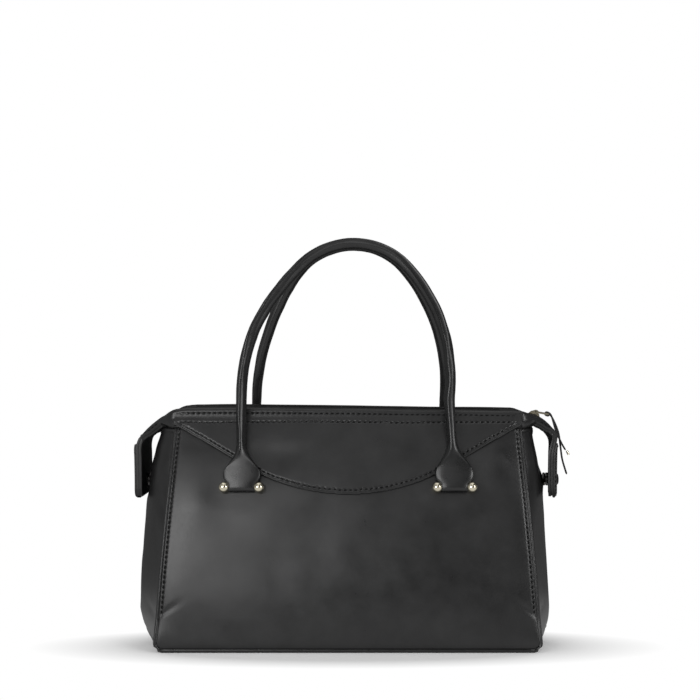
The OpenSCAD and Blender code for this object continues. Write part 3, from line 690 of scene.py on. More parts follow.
def flesh_finish(finish):
    """The leather's brushed inner side, matt and a little fibrous."""
    leather = bpy.context.scene.bag_leather
    where = finish.place()
    fibre = finish.grain(where, 900.0, 4.0)
    colour = finish.blend(fibre, rgba(leather.colour, 0.6), rgba(leather.colour, 1.3))
    finish.shade(
        Base_Color=colour, Roughness=finish.spread(fibre, 0.3, 0.7, 0.6, 0.85),
        Normal=finish.bump(fibre, 0.00015, 0.6), Specular_IOR_Level=0.2)


def edge_finish(finish):
    """Painted cut edges, smoother and a little brighter than the skin."""
    leather = bpy.context.scene.bag_leather
    where = finish.place()
    drip = finish.grain(where, 300.0, 3.0)
    colour = finish.blend(drip, rgba(leather.edge_colour, 0.8), rgba(leather.edge_colour, 1.3))
    finish.shade(
        Base_Color=colour, Roughness=finish.spread(drip, 0.3, 0.7, 0.26, 0.4), Normal=finish.bump(drip, 0.00012, 0.6))


def thread_finish(finish):
    """Waxed black thread, twisted from fine fibres."""
    sewing = bpy.context.scene.bag_stitching
    where = finish.place()
    fibre = finish.grain(where, 2600.0, 2.0)
    colour = finish.blend(fibre, rgba(sewing.thread_colour, 0.6), rgba(sewing.thread_colour, 1.5))
    finish.shade(
        Base_Color=colour, Roughness=finish.spread(fibre, 0.3, 0.7, 0.6, 0.8),
        Normal=finish.bump(fibre, 0.0001, 0.6), Specular_IOR_Level=0.2)


def metal_finish(finish, tint="colour"):
    """Polished pale gold fittings with faint handling marks."""
    metal = bpy.context.scene.bag_metal
    where = finish.place()
    haze = finish.grain(where, 180.0, 4.0)
    scratch = finish.node("ShaderNodeTexNoise", {}, {
        "Vector": finish.node("ShaderNodeMapping", {}, {"Vector": where, "Scale": (300.0, 2400.0, 900.0)}),
        "Scale": 1.0, "Detail": 2.0})
    tint = getattr(metal, tint)
    colour = finish.blend(haze, rgba(tint, 0.88), rgba(tint, 1.05))
    rough = finish.spread(haze * 0.6 + scratch * 0.4, 0.3, 0.7, metal.roughness * 0.6, metal.roughness * 1.6)
    finish.shade(Base_Color=colour, Metallic=1.0, Roughness=rough, Normal=finish.bump(scratch, 0.00002, 0.4))


def weave_finish(finish, colour, pitch, sheen=0.2):
    """Woven cloth: two crossed rows of yarn with a fine fuzz."""
    where = finish.place()
    rows, cross = [finish.bands(where, way, 0.314 / pitch, 0.6, 1.0) for way in ("X", "DIAGONAL")]
    fuzz = finish.grain(where, 3000.0, 3.0)
    yarn = rows * 0.5 + cross * 0.5
    tone = finish.blend(yarn * 0.7 + fuzz * 0.3, rgba(colour, 0.6), rgba(colour, 1.4))
    finish.shade(
        Base_Color=tone, Roughness=finish.spread(fuzz, 0.3, 0.7, 0.72, 0.92), Sheen_Weight=sheen,
        Normal=finish.bump(yarn + fuzz * 0.3, 0.0003, 0.6))


def board_finish(finish):
    """Grey fibre board with pressed flecks."""
    where = finish.place()
    fleck = finish.cells(where, 900.0)
    cloud = finish.grain(where, 120.0, 5.0)
    colour = finish.ramp(cloud * 0.6 + fleck * 0.4, [(0.2, (0.055, 0.043, 0.033)), (0.8, (0.14, 0.115, 0.09))])
    finish.shade(
        Base_Color=colour, Roughness=finish.spread(cloud, 0.3, 0.7, 0.8, 0.95), Normal=finish.bump(fleck, 0.0002, 0.5))


def core_finish(finish):
    """Twisted fibre cord inside the handles."""
    where = finish.place()
    twist = finish.bands(where, "DIAGONAL", 160.0, 2.0, 2.0)
    hair = finish.grain(where, 1500.0, 3.0)
    colour = finish.blend(twist * 0.6 + hair * 0.4, (0.09, 0.07, 0.05, 1), (0.2, 0.165, 0.12, 1))
    finish.shade(
        Base_Color=colour, Roughness=finish.spread(hair, 0.3, 0.7, 0.75, 0.95),
        Normal=finish.bump(twist + hair * 0.4, 0.0004, 0.6))


FINISHES = {
    "leather": leather_finish,
    "handle leather": lambda f: leather_finish(f, 0.04, 0.15, 0.2),
    "flesh side": flesh_finish,
    "strap leather": lambda f: leather_finish(f, 0.0, 0.7),
    "edge paint": edge_finish,
    "thread": thread_finish,
    "pale gold": metal_finish,
    "dark metal": lambda f: metal_finish(f, "dark_colour"),
    "worn gold": lambda f: metal_finish(f, "worn_colour"),
    "lining cloth": lambda f: weave_finish(f, bpy.context.scene.bag_cloth.lining_colour, 0.0007),
    "zip tape": lambda f: weave_finish(f, bpy.context.scene.bag_cloth.tape_colour, 0.0005, 0.1),
    "fibre board": board_finish,
    "handle cord": core_finish,
}


def finish_named(name):
    """The finish of this name, made the first time it is asked for and named apart from the frame's own."""
    found = bpy.data.materials.get("bag " + name)
    if not found:
        found = bpy.data.materials.new("bag " + name)
        FINISHES[name](Finish(found))
    return found


def repaint(names, finish):
    """Gives CAD nodes a finish, and leaves their shape alone."""
    for name in names:
        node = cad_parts[name]
        node.data.materials.clear()
        node.data.materials.append(finish_named(finish))


# Pieces


def wall_panels():
    """The front and back leather, from the base seam to the crests."""
    pitch = bpy.context.scene.bag_stitching.pitch / MM
    rows = steps(PANEL_LOW + 0.2, 6.0, 4)[:-1] + steps(6.0, PANEL_TOP, 240)
    half = [d / 145 for d in (0, 0.35, 0.8, 1.3, 1.7, 2.0, 2.3, 2.6, 3.0, 3.6, 4.6, 6, 8, 10.5, 13.5, 17, 21)]
    half += [21 / 145 + (1 - 21 / 145) * (k + 1) / 24 for k in range(24)]
    columns = [-(1 - d) for d in half[:-1]] + [1 - d for d in half[::-1]]
    for name, front in (("front_panel", True), ("back_panel", False)):
        def place(u, h):
            wide = panel_half(h)
            edge = (1 - abs(u)) * wide
            sewn = smooth((h - 26) / 6)
            out = channel(edge, 2.2, 1.15 * stitch_dip(h, pitch), 0.7) * sewn - 0.5 * math.exp(-edge / 0.8)
            out -= 0.7 * math.exp(-(h - PANEL_LOW) / 1.6)
            return wall_point(u * wide, h, out, front)
        piece = formed_grid(name + "_leather", columns, rows, place)
        cut_leather(piece, PANEL_T, 0.5, flip=not front)
        dress(piece, "bag", finish_named("leather"), finish_named("edge paint"), stands_for=[name])


def stitch_dip(along, pitch):
    """The leather's rise and fall along a row, pulled in at each stitch."""
    return 0.62 + 0.38 * math.cos(2 * math.pi * along / pitch)


def rim_lengths():
    """The length along the yoke's lower edge, by x."""
    xs = steps(-RIM_HALF, RIM_HALF, 4 * RIM_HALF)
    marks = [0.0]
    for x0, x1 in zip(xs, xs[1:]):
        marks.append(marks[-1] + math.hypot(x1 - x0, yoke_low(x1) - yoke_low(x0)))
    return marks


RIM = rim_lengths()


def band_point(x, s, out, front):
    """A point on the yoke and the crest above it, s along the band's profile."""
    at = BAND.at(s)
    q = at + band_square(s) * out
    if at.z > 178:
        q.z += crest_fall(x) * smooth((at.z - 178) / 7)
        q.z += smooth((at.z - 181) / 4) * (0.35 * lump(x / 46, 0.4, 3.0 if front else 8.0)) * smooth((138 - abs(x)) / 16)
    q = Vector((x, -q.y if front else q.y, q.z))
    if at.z > 176:
        return q
    p = wall_point(x, at.z, 0.1 + YOKE_T + out, front)
    return p.lerp(q, smooth((at.z - 168) / 8)) if at.z > 168 else p


ROW_1, ROW_2 = 183.2, 175.6


def row_height(row, x, front):
    """The crest's two sewn rows: the lower one wanders a little."""
    wander = 0.9 * lump(x / 55, 1.3, 2.0 if front else 7.0) if row == ROW_2 else 0.2 * lump(x / 60, 4.0, 1.0)
    return row + wander


def yokes():
    """The scalloped yokes, which go on upwards as one band over the crests."""
    low_rows = edge_rows(
        9.0, (0, 0.3, 0.6, 0.9, 1.25, 1.55, 1.8, 2.1, 2.5, 2.85, 3.1, 3.35, 3.65, 4.0, 4.5, 5.2, 6.4), 3.0)
    columns = steps(-1, 1, 470)
    for name, front in (("front_yoke", True), ("back_yoke", False)):
        crest_rows = [BAND.length - d for d in (0, 0.8, 1.8, 3.0, 4.2, 5.2, 6.0, 6.8)]
        row_1, row_2 = band_mark(ROW_1), band_mark(ROW_2)
        close = [row_1 + d for d in (1.4, 0.8, 0.4, 0, -0.4, -0.8, -1.4, -2.6)]
        close += [row_2 + d for d in (2.6, 1.6, 0.9, 0.45, 0, -0.45, -0.9, -1.6, -2.6)]
        fixed = sorted({round(m, 2) for m in close + crest_rows})
        floor = band_mark(172.9)
        fixed = [m for m in fixed if m > floor]
        free = 12
        rows = list(range(len(low_rows) + free + len(fixed)))

        def place(u, k):
            k = int(round(k))
            side = panel_half(YOKE_SIDE_H) + 2.4
            x = u * side
            low = band_mark(yoke_low(x))
            slant = yoke_slant(x)
            close_up = min(1.0, (fixed[0] - 0.4 - low) / (9.0 / slant))
            start = low + 9.0 / slant * close_up
            if k < len(low_rows):
                mark = low + low_rows[k] / slant * close_up
            elif k < len(low_rows) + free:
                mark = lerp(start, fixed[0], (k - len(low_rows) + 1) / (free + 1))
            else:
                mark = fixed[k - len(low_rows) - free]
            away = (mark - low) * slant
            i = min(len(RIM) - 1, max(0, int((x + RIM_HALF) * 2)))
            sewn = smooth((RIM_HALF - abs(x)) / 5)
            out = channel(away, 3.3, 1.15 * stitch_dip(RIM[i], YOKE_STITCH), 0.7) * sewn + channel(away, 1.75, 0.45, 0.4)
            out += 0.3 * math.exp(-((away - 0.8) / 0.5) ** 2) - 0.35 * math.exp(-away / 0.3)
            h = BAND.at(mark).z
            if h > 170:
                out += channel(
                    h, row_height(ROW_1, x, front), 0.95 * stitch_dip(x, CREST_STITCH), 0.6) * sewn * (mark < BAND.length - 5)
                out += channel(h, row_height(ROW_2, x, front), 1.1 * stitch_dip(x, CREST_STITCH), 0.7) * sewn
            return band_point(x, mark, out, front)
        piece = formed_grid(name + "_leather", columns, rows, place)
        cut_leather(piece, YOKE_T, 0.3, flip=not front)
        dress(piece, "bag", finish_named("leather"), finish_named("edge paint"), stands_for=[name])


def facings():
    """The facings that slope from inside the crests down to the zip."""
    profile = [
        (-25.6, 183.6), (-25.2, 185.6), (-24.3, 186.6), (-22.9, 186.5), (-20.5, 185.5), (-17.0, 184.0),
        (-13.0, 182.1), (-9.6, 180.7),
        (-8.2, 180.2), (-7.35, 179.9), (-7.0, 179.3)]
    route = Route([(0, y, z) for y, z in profile], 6)
    columns = steps(0, route.length, 40)
    rows = steps(-FACING_END, FACING_END, 110)
    for name, sy in (("front_zip_facing", 1), ("back_zip_facing", -1)):
        def place(x, s):
            p = route.at(s)
            soft = smooth((FACING_END - abs(x)) / 18)
            sink = channel(s, route.length - 3.4, 0.35, 0.6) + 0.3 * soft * lump(x / 30, s / 12, 8.0 * sy)
            return Vector((x, sy * p.y, p.z + sink * smooth((s - 9) / 8) + crest_fall(x) * smooth((p.z - 180) / 5)))
        piece = formed_grid(name + "_leather", rows, columns, place)
        cut_leather(piece, 2.0, 0.4, flip=sy < 0)
        dress(piece, "bag", finish_named("leather"), finish_named("edge paint"), stands_for=[name])


def gussets():
    """The soft side panels, which fold outwards down their middle."""
    rows = steps(PANEL_LOW, GUSSET_H - 2.2, 70)
    columns = steps(-1, 1, 56)
    for sx, name in ((-1, "left"), (1, "right")):
        def place(t, h):
            reach = wall_out(h) - PANEL_T - 0.1
            soft = smooth((1 - abs(t)) / 0.35) * smooth((h - 6) / 20)
            wave = 0.8 * lump(t * 1.3, h / 52, 4.2 * sx) + 0.35 * lump(t * 3.1, h / 24, 8.3 * sx)
            upper = smooth((h - 118) / 50)
            pleat = -1.5 * upper * math.exp(-((abs(t) - 0.42) / 0.2) ** 2) + 0.5 * upper * math.exp(-(t / 0.12) ** 2)
            crease = (
                -0.5 * math.exp(-((h - 30 + 7 * abs(t)) / 3.0) ** 2)
                * smooth((0.95 - abs(t)) / 0.3) * smooth((abs(t) - 0.3) / 0.3))
            foot = 0.022 * max(0.0, 11 - h) ** 2 * fold(t)
            snap = math.exp(-((t * reach) / 10) ** 2 - ((h - 125) / 10) ** 2)
            x = panel_half(max(h, 8)) - corner_round(h) * abs(t) ** 6 + swell(h, sx) * fold(t, h) - foot + crease
            x += (1 - snap) * soft * (wave * 0.8 + pleat) + snap * (2.3 if sx > 0 else -4.3)
            return Vector((sx * x, t * reach, h))
        piece = formed_grid(name + "_gusset_leather", columns, rows, place)
        cut_leather(piece, PANEL_T, 0.5, flip=sx < 0)
        dress(piece, "bag", finish_named("leather"), finish_named("edge paint"), stands_for=[name + "_gusset"])


def bindings():
    """The folded strips that close the side panels' upper edges."""
    section = [
        (0.75, -3.6), (1.0, -1.2), (0.9, 1.0), (0.3, 2.1), (-0.6, 2.5), (-1.6, 2.5), (-2.5, 2.1), (-3.1, 1.0),
        (-3.2, -1.2),
        (-2.95, -3.6)]
    for sx, name in ((-1, "left"), (1, "right")):
        rings = []
        reach = wall_out(GUSSET_H) - PANEL_T - 0.4
        for t in steps(-1, 1, 44):
            wave = 0.25 * lump(t * 5, 1.0, sx)
            x = panel_half(GUSSET_H) + swell(GUSSET_H, sx) * fold(t, GUSSET_H) + wave
            rise = fold(min(1, t + 0.02), GUSSET_H) - fold(max(-1, t - 0.02), GUSSET_H)
            slope = max(-2.0, min(2.0, rise * swell(GUSSET_H, sx) / (0.04 * reach)))
            square = Vector((1, -slope, 0)).normalized()
            rings.append([
                Vector((sx * (x + d * square.x), t * reach + d * square.y, GUSSET_H - 2.0 + e)) for d, e in section])
        piece = closed_tube(name + "_gusset_binding_leather", rings)
        dress(piece, "bag", finish_named("strap leather"), stands_for=[name + "_gusset_binding"], angle=60)


def seam_edges():
    """The turned edges of the side panels, beside the upright seams."""
    for sx, side in ((-1, "left"), (1, "right")):
        for front, wall in ((True, "front"), (False, "back")):
            name = f"{wall}_{side}_seam_edge"

            def place(c, h):
                crown = 0.55 * math.sin(math.pi * min(1, max(0, c / 2.4))) - 0.1
                wave = 0.12 * lump(h / 9, 2.0, sx * 2 + front)
                x = panel_half(h) + 0.12 + c
                p = wall_point(x, h, crown + wave, front)
                return Vector((sx * p.x, p.y, p.z))
            piece = formed_grid(name + "_leather", steps(0, 2.4, 8), steps(PANEL_LOW + 0.1, GUSSET_H + 0.6, 80), place)
            cut_leather(piece, 1.9, 0.3, flip=(sx < 0) == front)
            dress(piece, "bag", finish_named("strap leather"), finish_named("edge paint"), stands_for=[name])


def base():
    """The base leather, whose ends follow the side panels."""
    def place(u, t):
        drawn = 1 - math.sqrt(max(0.0, 1 - max(0.0, (abs(t) * 75 - 71) / 4) ** 2))
        return Vector((
            u * (147.6 + (swell(3, 1 if u > 0 else -1) - 1.0) * fold(t) - 3.4 * drawn), t * 75.0, BASE_T - 0.15))
    piece = formed_grid("base_leather", steps(-1, 1, 60), steps(-1, 1, 48), place)
    cut_leather(piece, BASE_T - 0.15, 0.8)
    dress(piece, "bag", finish_named("leather"), finish_named("edge paint"), stands_for=["base_panel"])


def strap_marks(sx):
    length = STRAPS[sx].length
    return steps(0, 36, 40) + steps(37.2, length - 10, 36) + steps(length - 9, length, 14)


def strap_bend(sx):
    """The joint's two sides meet in the strap's bend."""
    return ("bag", ("left" if sx < 0 else "right") + "_tab", (sx * 0.1615, 0, 0.1755), (sx * 0.1742, 0, 0.1595))


def straps():
    """The straps that run from the crests over the sides and hang down as tabs."""
    slit = ZIP_HALF / TAB_HALF
    across = steps(-1, -slit, 22) + steps(-slit, slit, 6)[1:-1] + steps(slit, 1, 22)
    across = sorted(across + [-0.955, -0.91, -0.865, 0.865, 0.91, 0.955])
    for sx, side in ((-1, "left"), (1, "right")):
        strap = STRAPS[sx]
        marks = strap_marks(sx)
        slot = next(m for m in marks if strap.at(m).x > SLOT_END - 1)
        patch_from = strap.height_mark(PATCH_H)
        layers = (
            ("_strap_leather", 0.0, STRAP_T, [side + "_wing", side + "_tab_strap"], marks[:-4], True),
            (
                "_strap_backing_leather", -STRAP_T - 0.1, BACKING_T, [side + "_tab_backing"],
                [m for m in marks[:-3] if strap.at(m).x > BACKING_FROM], True),
            ("_tab_patch_leather", PATCH_T + 0.1, PATCH_T, [side + "_tab_patch"], [m for m in marks if m >= patch_from], False))
        for suffix, out, thick, nodes, stations, slotted in layers:
            def place(v, s):
                edge = (1 - abs(v)) * TAB_HALF
                groove = channel(edge, SEWN_IN, 0.4, 0.6) * smooth((s - 26) / 6) if out >= 0 else 0.0
                if slotted:
                    groove *= smooth((patch_from - s) / 3)
                under = -0.3 * (1 - smooth((strap.at(s).x - 141) / 4)) if out >= 0 else 0.0
                p = strap_point(s, v, out + groove + under, sx)
                return Vector((sx * p.x, p.y, p.z))

            def hole(v, s):
                return slotted and abs(v) < slit - 0.01 and s < slot
            piece = formed_grid(side + suffix, across, stations, place, hole)
            cut_leather(piece, thick, 0.4, flip=sx > 0)
            skin = finish_named("flesh side" if out < 0 else "leather")
            dress(
                piece, strap_bend(sx) if slotted else side + "_tab", skin, finish_named("edge paint"), stands_for=nodes)


def handle_stations():
    """Stations along a handle: place, angle outwards, half width, half thickness, openness and depth of the groove."""
    widths = {
        1: [(-3.3, 9.8), (-3.0, 10.5), (-2.0, 10.9), (0, 11.0), (1.8, 11.2), (3.2, 12.2), (4.8, 13.6),
            (6.4, 14.6), (8.0, 15.0), (10, 15.2),
            (12.5, 15.1), (15, 14.4), (18.5, 12.4), (22, 10.2), (25, 8.2), (28, 6.4), (31, 5.1),
            (35, 4.1), (42, 3.85), (52, 4.0), (80, 4.4)],
        -1: [(-3.3, 9.8), (-3.0, 10.5), (-2.0, 10.9), (0, 11.0), (1.8, 11.2), (3.2, 12.1), (4.8, 13.4),
             (6.4, 14.3), (8.0, 14.9),
             (10, 15.0), (12.5, 14.6), (15, 13.3), (18.2, 11.1), (21, 9.1), (24, 7.1), (27, 5.5), (31, 4.4),
             (36, 3.85), (42, 3.85), (52, 4.1), (80, 4.4)]}
    thicks = [
        (-3.3, 0.6), (-3.0, 1.4), (-2.2, 2.3), (-1.0, 2.85), (1, 3.0), (10, 3.1), (16, 3.4), (22, 3.9),
        (28, 4.5), (36, 4.8), (52, 5.0)]
    heights = [-3.3, -3.1, -2.7, -2.0, -1.0, 0.2, 1.4, 2.4, 3.2, 4.0, 4.8, 5.6, 6.6, 7.8, 9.2]
    heights += steps(10.6, 34, 20) + steps(36, LEG_TOP, 20)

    def leg(sx):
        rows = []
        for z in heights:
            openness = 1 - smooth((z - 8.0) / 24.0)
            rows.append((
                sx * LEG_X, z, 0.0 if sx > 0 else math.pi, reading(z, widths[sx]), reading(z, thicks),
                openness, 1.05 * smooth((z - 1.0) / 24.0)))
        return rows
    right = leg(1)
    side_c = LEG_X - SIDE_R
    side_arc = [
        (side_c + SIDE_R * math.cos(angle), LEG_TOP + SIDE_R * math.sin(angle), angle,
         lerp(4.4, ROLL_R, angle / SIDE_ANGLE), ROLL_R, 0.0, 1.05)
        for angle in steps(0, SIDE_ANGLE, 60)[1:]]
    arch = [
        (ARCH_R * math.cos(angle), APEX_H - ARCH_R + ARCH_R * math.sin(angle), angle, ROLL_R, ROLL_R, 0.0, 1.05)
        for angle in steps(SIDE_ANGLE, math.pi - SIDE_ANGLE, 70)[1:-1]]
    far_arc = [(-x, z, math.pi - angle, a, b, o, g) for x, z, angle, a, b, o, g in side_arc[::-1]]
    return right + side_arc + arch + far_arc + leg(-1)[::-1]


def handle_section(station, s, seed):
    """The handle's section: leather rolled round a core, its two folded edges facing the front with a groove between."""
    x, z, angle, a, b, openness, groove = station
    round_leg = 1 - openness
    ridge = math.radians(lerp(27, 76, openness) + round_leg * 6 * lump(s / 21, seed, 1.0))
    arch = math.sin(min(math.pi, max(0.0, angle)))
    twist = math.radians(round_leg * (16 * arch + 7 * lump(s / 34, seed, 6.0)))
    deep = groove * (1 + 0.25 * round_leg * lump(s / 17, seed, 3.0))
    girth = 1 + round_leg * (0.02 * lump(s / 13, seed, 9.0) + 0.015 * lump(s / 5, seed, 2.0))
    inner = [-1, -0.93, -0.84, -0.7, -0.5, -0.25, 0, 0.25, 0.5, 0.7, 0.84, 0.93]
    outer = [0, 0.012, 0.03, 0.055, 0.09] + steps(0.13, 0.87, 22) + [0.91, 0.945, 0.97, 0.988]
    ring = []
    power = lerp(1.0, 0.72, openness)
    out_way = Vector((math.cos(angle), 0, math.sin(angle)))
    for kind, share in [("in", k) for k in inner] + [("out", k) for k in outer]:
        if kind == "in":
            theta = ridge * share
            dip = deep * (math.cos(share * math.pi / 2) ** lerp(0.9, 0.5, openness))
            near = abs(share) ** 6
        else:
            theta = ridge + (2 * math.pi - 2 * ridge) * share
            dip = 0.0
            near = math.exp(-min(share, 1 - share) / 0.02)
        t = theta + twist
        c, q = math.cos(t), math.sin(t)
        wide = a * girth * math.copysign(abs(q) ** power, q)
        deep_y = b * girth * math.copysign(abs(c) ** power, c)
        lip = 0.32 * near * smooth(groove)
        wrinkle = 0.07 * round_leg * lump(s / 3.1, q * 2 + seed, c * 2)
        radial = Vector((q, c)).normalized() * (lip + wrinkle)
        ring.append((x, z, out_way, wide + radial.x - dip * math.sin(twist), deep_y + radial.y - dip * math.cos(twist)))
    return ring


def handle_frame(front):
    """From a handle's own plane to its leaning place on the bag."""
    lean = Matrix.Rotation(-HANDLE_LEAN, 4, "X")
    frame_way = Matrix.Translation((0, -BAR_OUT, BAR_H)) @ lean
    return frame_way if front else Matrix.Rotation(math.pi, 4, "Z") @ frame_way


def sway(x, z, front):
    """How far a soft handle stands aside from its cut line: the front and back ones fall differently."""
    turn = 1 if front else -1
    return turn * reading(z, SWAYS[(front, 1 if x * turn > 0 else -1)])


def handles():
    """The two rolled handles, with their flared ends folded round the bars."""
    stations = handle_stations()
    for name, front in (("front", True), ("back", False)):
        carry = handle_frame(front)
        rings, s, last = [], 0.0, None
        for station in stations:
            here = Vector((station[0], 0, station[1]))
            s += (here - last).length if last else 0.0
            last = here
            rings.append([
                carry @ (Vector((x + sway(x, z, front), 0, z)) + out_way * wide + Vector((0, -deep, 0)))
                for x, z, out_way, wide, deep in handle_section(station, s, 1.7 if front else 6.1)])
        piece = closed_tube(name + "_handle_leather", rings)
        dress(
            piece, name + "_handle", finish_named("handle leather"), angle=65,
            stands_for=[f"{name}_handle_roll", f"{name}_handle_flares", f"{name}_handle_loops"])
        cord = []
        for x, z, angle, *_ in stations:
            if z > CORD_FROM:
                middle = Vector((x + sway(x, z, front), 0, z))
                out_way = Vector((math.cos(angle), 0, math.sin(angle)))
                cord.append([
                    carry @ (middle + out_way * (CORD_R * math.sin(t)) + Vector((0, -CORD_R * math.cos(t), 0)))
                    for t in steps(0, 2 * math.pi, 20)[:-1]])
        dress(
            closed_tube(name + "_handle_cord", cord), name + "_handle", finish_named("handle cord"),
            stands_for=[name + "_handle_core"])


def studs():
    """The ball-headed studs: a polished ball drawn down into a neck and a collar on the leather."""
    lift = math.asin((124.1 - WALL_H) / WALL_R)
    for name, front in (("front", True), ("back", False)):
        whole = None
        for x in [side * STUD_X[0] + end * STUD_X[1] for side in (-1, 1) for end in (-1, 1)]:
            clear_selection()
            bpy.ops.mesh.primitive_uv_sphere_add(segments=40, ring_count=28, radius=BALL_R * MM)
            ball = bpy.context.object
            bpy.ops.object.mode_set(mode="EDIT")
            bpy.ops.mesh.select_all(action="DESELECT")
            bpy.ops.object.mode_set(mode="OBJECT")
            for f in ball.data.polygons:
                f.select = f.center.z < -BALL_R * 0.86 * MM
            bpy.ops.object.mode_set(mode="EDIT")
            bpy.ops.mesh.extrude_region_move(TRANSFORM_OT_translate={"value": (0, 0, -0.5 * MM)})
            bpy.ops.transform.resize(value=(0.85, 0.85, 0.2), center_override=(0, 0, -BALL_R * MM - 0.2 * MM))
            bpy.ops.mesh.extrude_region_move(TRANSFORM_OT_translate={"value": (0, 0, -0.12 * MM)})
            bpy.ops.transform.resize(value=(1.75, 1.75, 1))
            bpy.ops.mesh.extrude_region_move(TRANSFORM_OT_translate={"value": (0, 0, -0.35 * MM)})
            bpy.ops.transform.resize(value=(1.04, 1.04, 0.2))
            bpy.ops.mesh.select_all(action="SELECT")
            bpy.ops.mesh.normals_make_consistent(inside=False)
            bpy.ops.object.mode_set(mode="OBJECT")
            turn = Matrix.Rotation(math.pi / 2 - lift, 4, "X")
            ball.data.transform(Matrix.Translation(Vector((x, -BAR_OUT, BAR_H)) * MM) @ turn)
            if not front:
                ball.data.transform(Matrix.Rotation(math.pi, 4, "Z"))
            whole = joined(whole, ball)
        whole.name = name + "_stud_heads"
        dress(whole, "bag", finish_named("pale gold"), stands_for=[name + "_studs"], angle=50)


def tapes():
    """The zip's two tapes, which run beside the teeth and dip into the slots of the straps."""
    whole = None
    for sy in (-1, 1):
        def place(x, v):
            wide = 1 - smooth((abs(x) - 138) / 4)
            y = lerp(3.1, lerp(6.8, 11.8, wide), v)
            route = STRAPS[1 if x > 0 else -1]
            z = 177.9
            if abs(x) > 148:
                under = next((q.z for q in route.line if q.x >= abs(x)), 168.0) - 1.4
                z = min(z, under)
                z = lerp(177.9, z, smooth((abs(x) - 148) / 5))
            return Vector((x, sy * y, z + 0.1 * lump(x / 12, v, sy)))
        tape = formed_grid("zip_tape", steps(-165.6, 165.6, 150), steps(0, 1, 6), place)
        cut_leather(tape, 0.7, 0.1)
        whole = joined(whole, tape)
    whole.name = "zip_tape_cloth"
    dress(whole, "bag", finish_named("zip tape"), stands_for=["zip_tapes"])


def thong_section(corner):
    """A flat thong's section, with its corners taken off."""
    return [
        (-1, -corner), (-corner, -1), (corner, -1), (1, -corner), (1, corner), (corner, 1), (-corner, 1), (-1, corner)]


def tails():
    """The two thin leather tails of the pull, looped over its far bar."""
    for name, route, side in (("pull_upper_tail", UPPER_TAIL, -1), ("pull_lower_tail", LOWER_TAIL, 1)):
        line = Route([(x, 0, z) for x, z in route], 8)
        middle = side * 1.2
        rings = []
        for s in steps(0, line.length, 60):
            at, way = line.at(s), line.way(s, 0.4)
            up = Vector((-way.z, 0, way.x))
            end = min(1.0, (line.length - s) / 1.2 + 0.35)
            w, t = 1.05 * end, 0.66 * end
            across = middle + 0.25 * lump(s / 9, side, 2.0)
            rings.append([at + up * (t * c) + Vector((0, across + w * q, 0)) for c, q in thong_section(0.75)])
        piece = closed_tube(name + "_leather", rings)
        loop = []
        for angle in steps(0, 2 * math.pi, 28)[:-1]:
            way = Vector((math.cos(angle), 0, math.sin(angle)))
            at = Vector((LINK_END[0], middle, LINK_END[1])) + way * 1.55
            loop.append([at + way * (0.62 * c) + Vector((0, 1.1 * q, 0)) for c, q in thong_section(0.8)])
        eye = formed_grid(
            name + "_eye", list(range(len(loop[0]) + 1)), list(range(len(loop) + 1)),
            lambda u, v: loop[v % len(loop)][u % len(loop[0])])
        in_edit(
            eye, (bpy.ops.mesh.remove_doubles, {"threshold": 1e-7}),
            (bpy.ops.mesh.normals_make_consistent, {"inside": False}))
        joined(piece, eye)
        dress(piece, "zip_pull", finish_named("strap leather"), stands_for=[name], angle=50)
        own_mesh(piece)


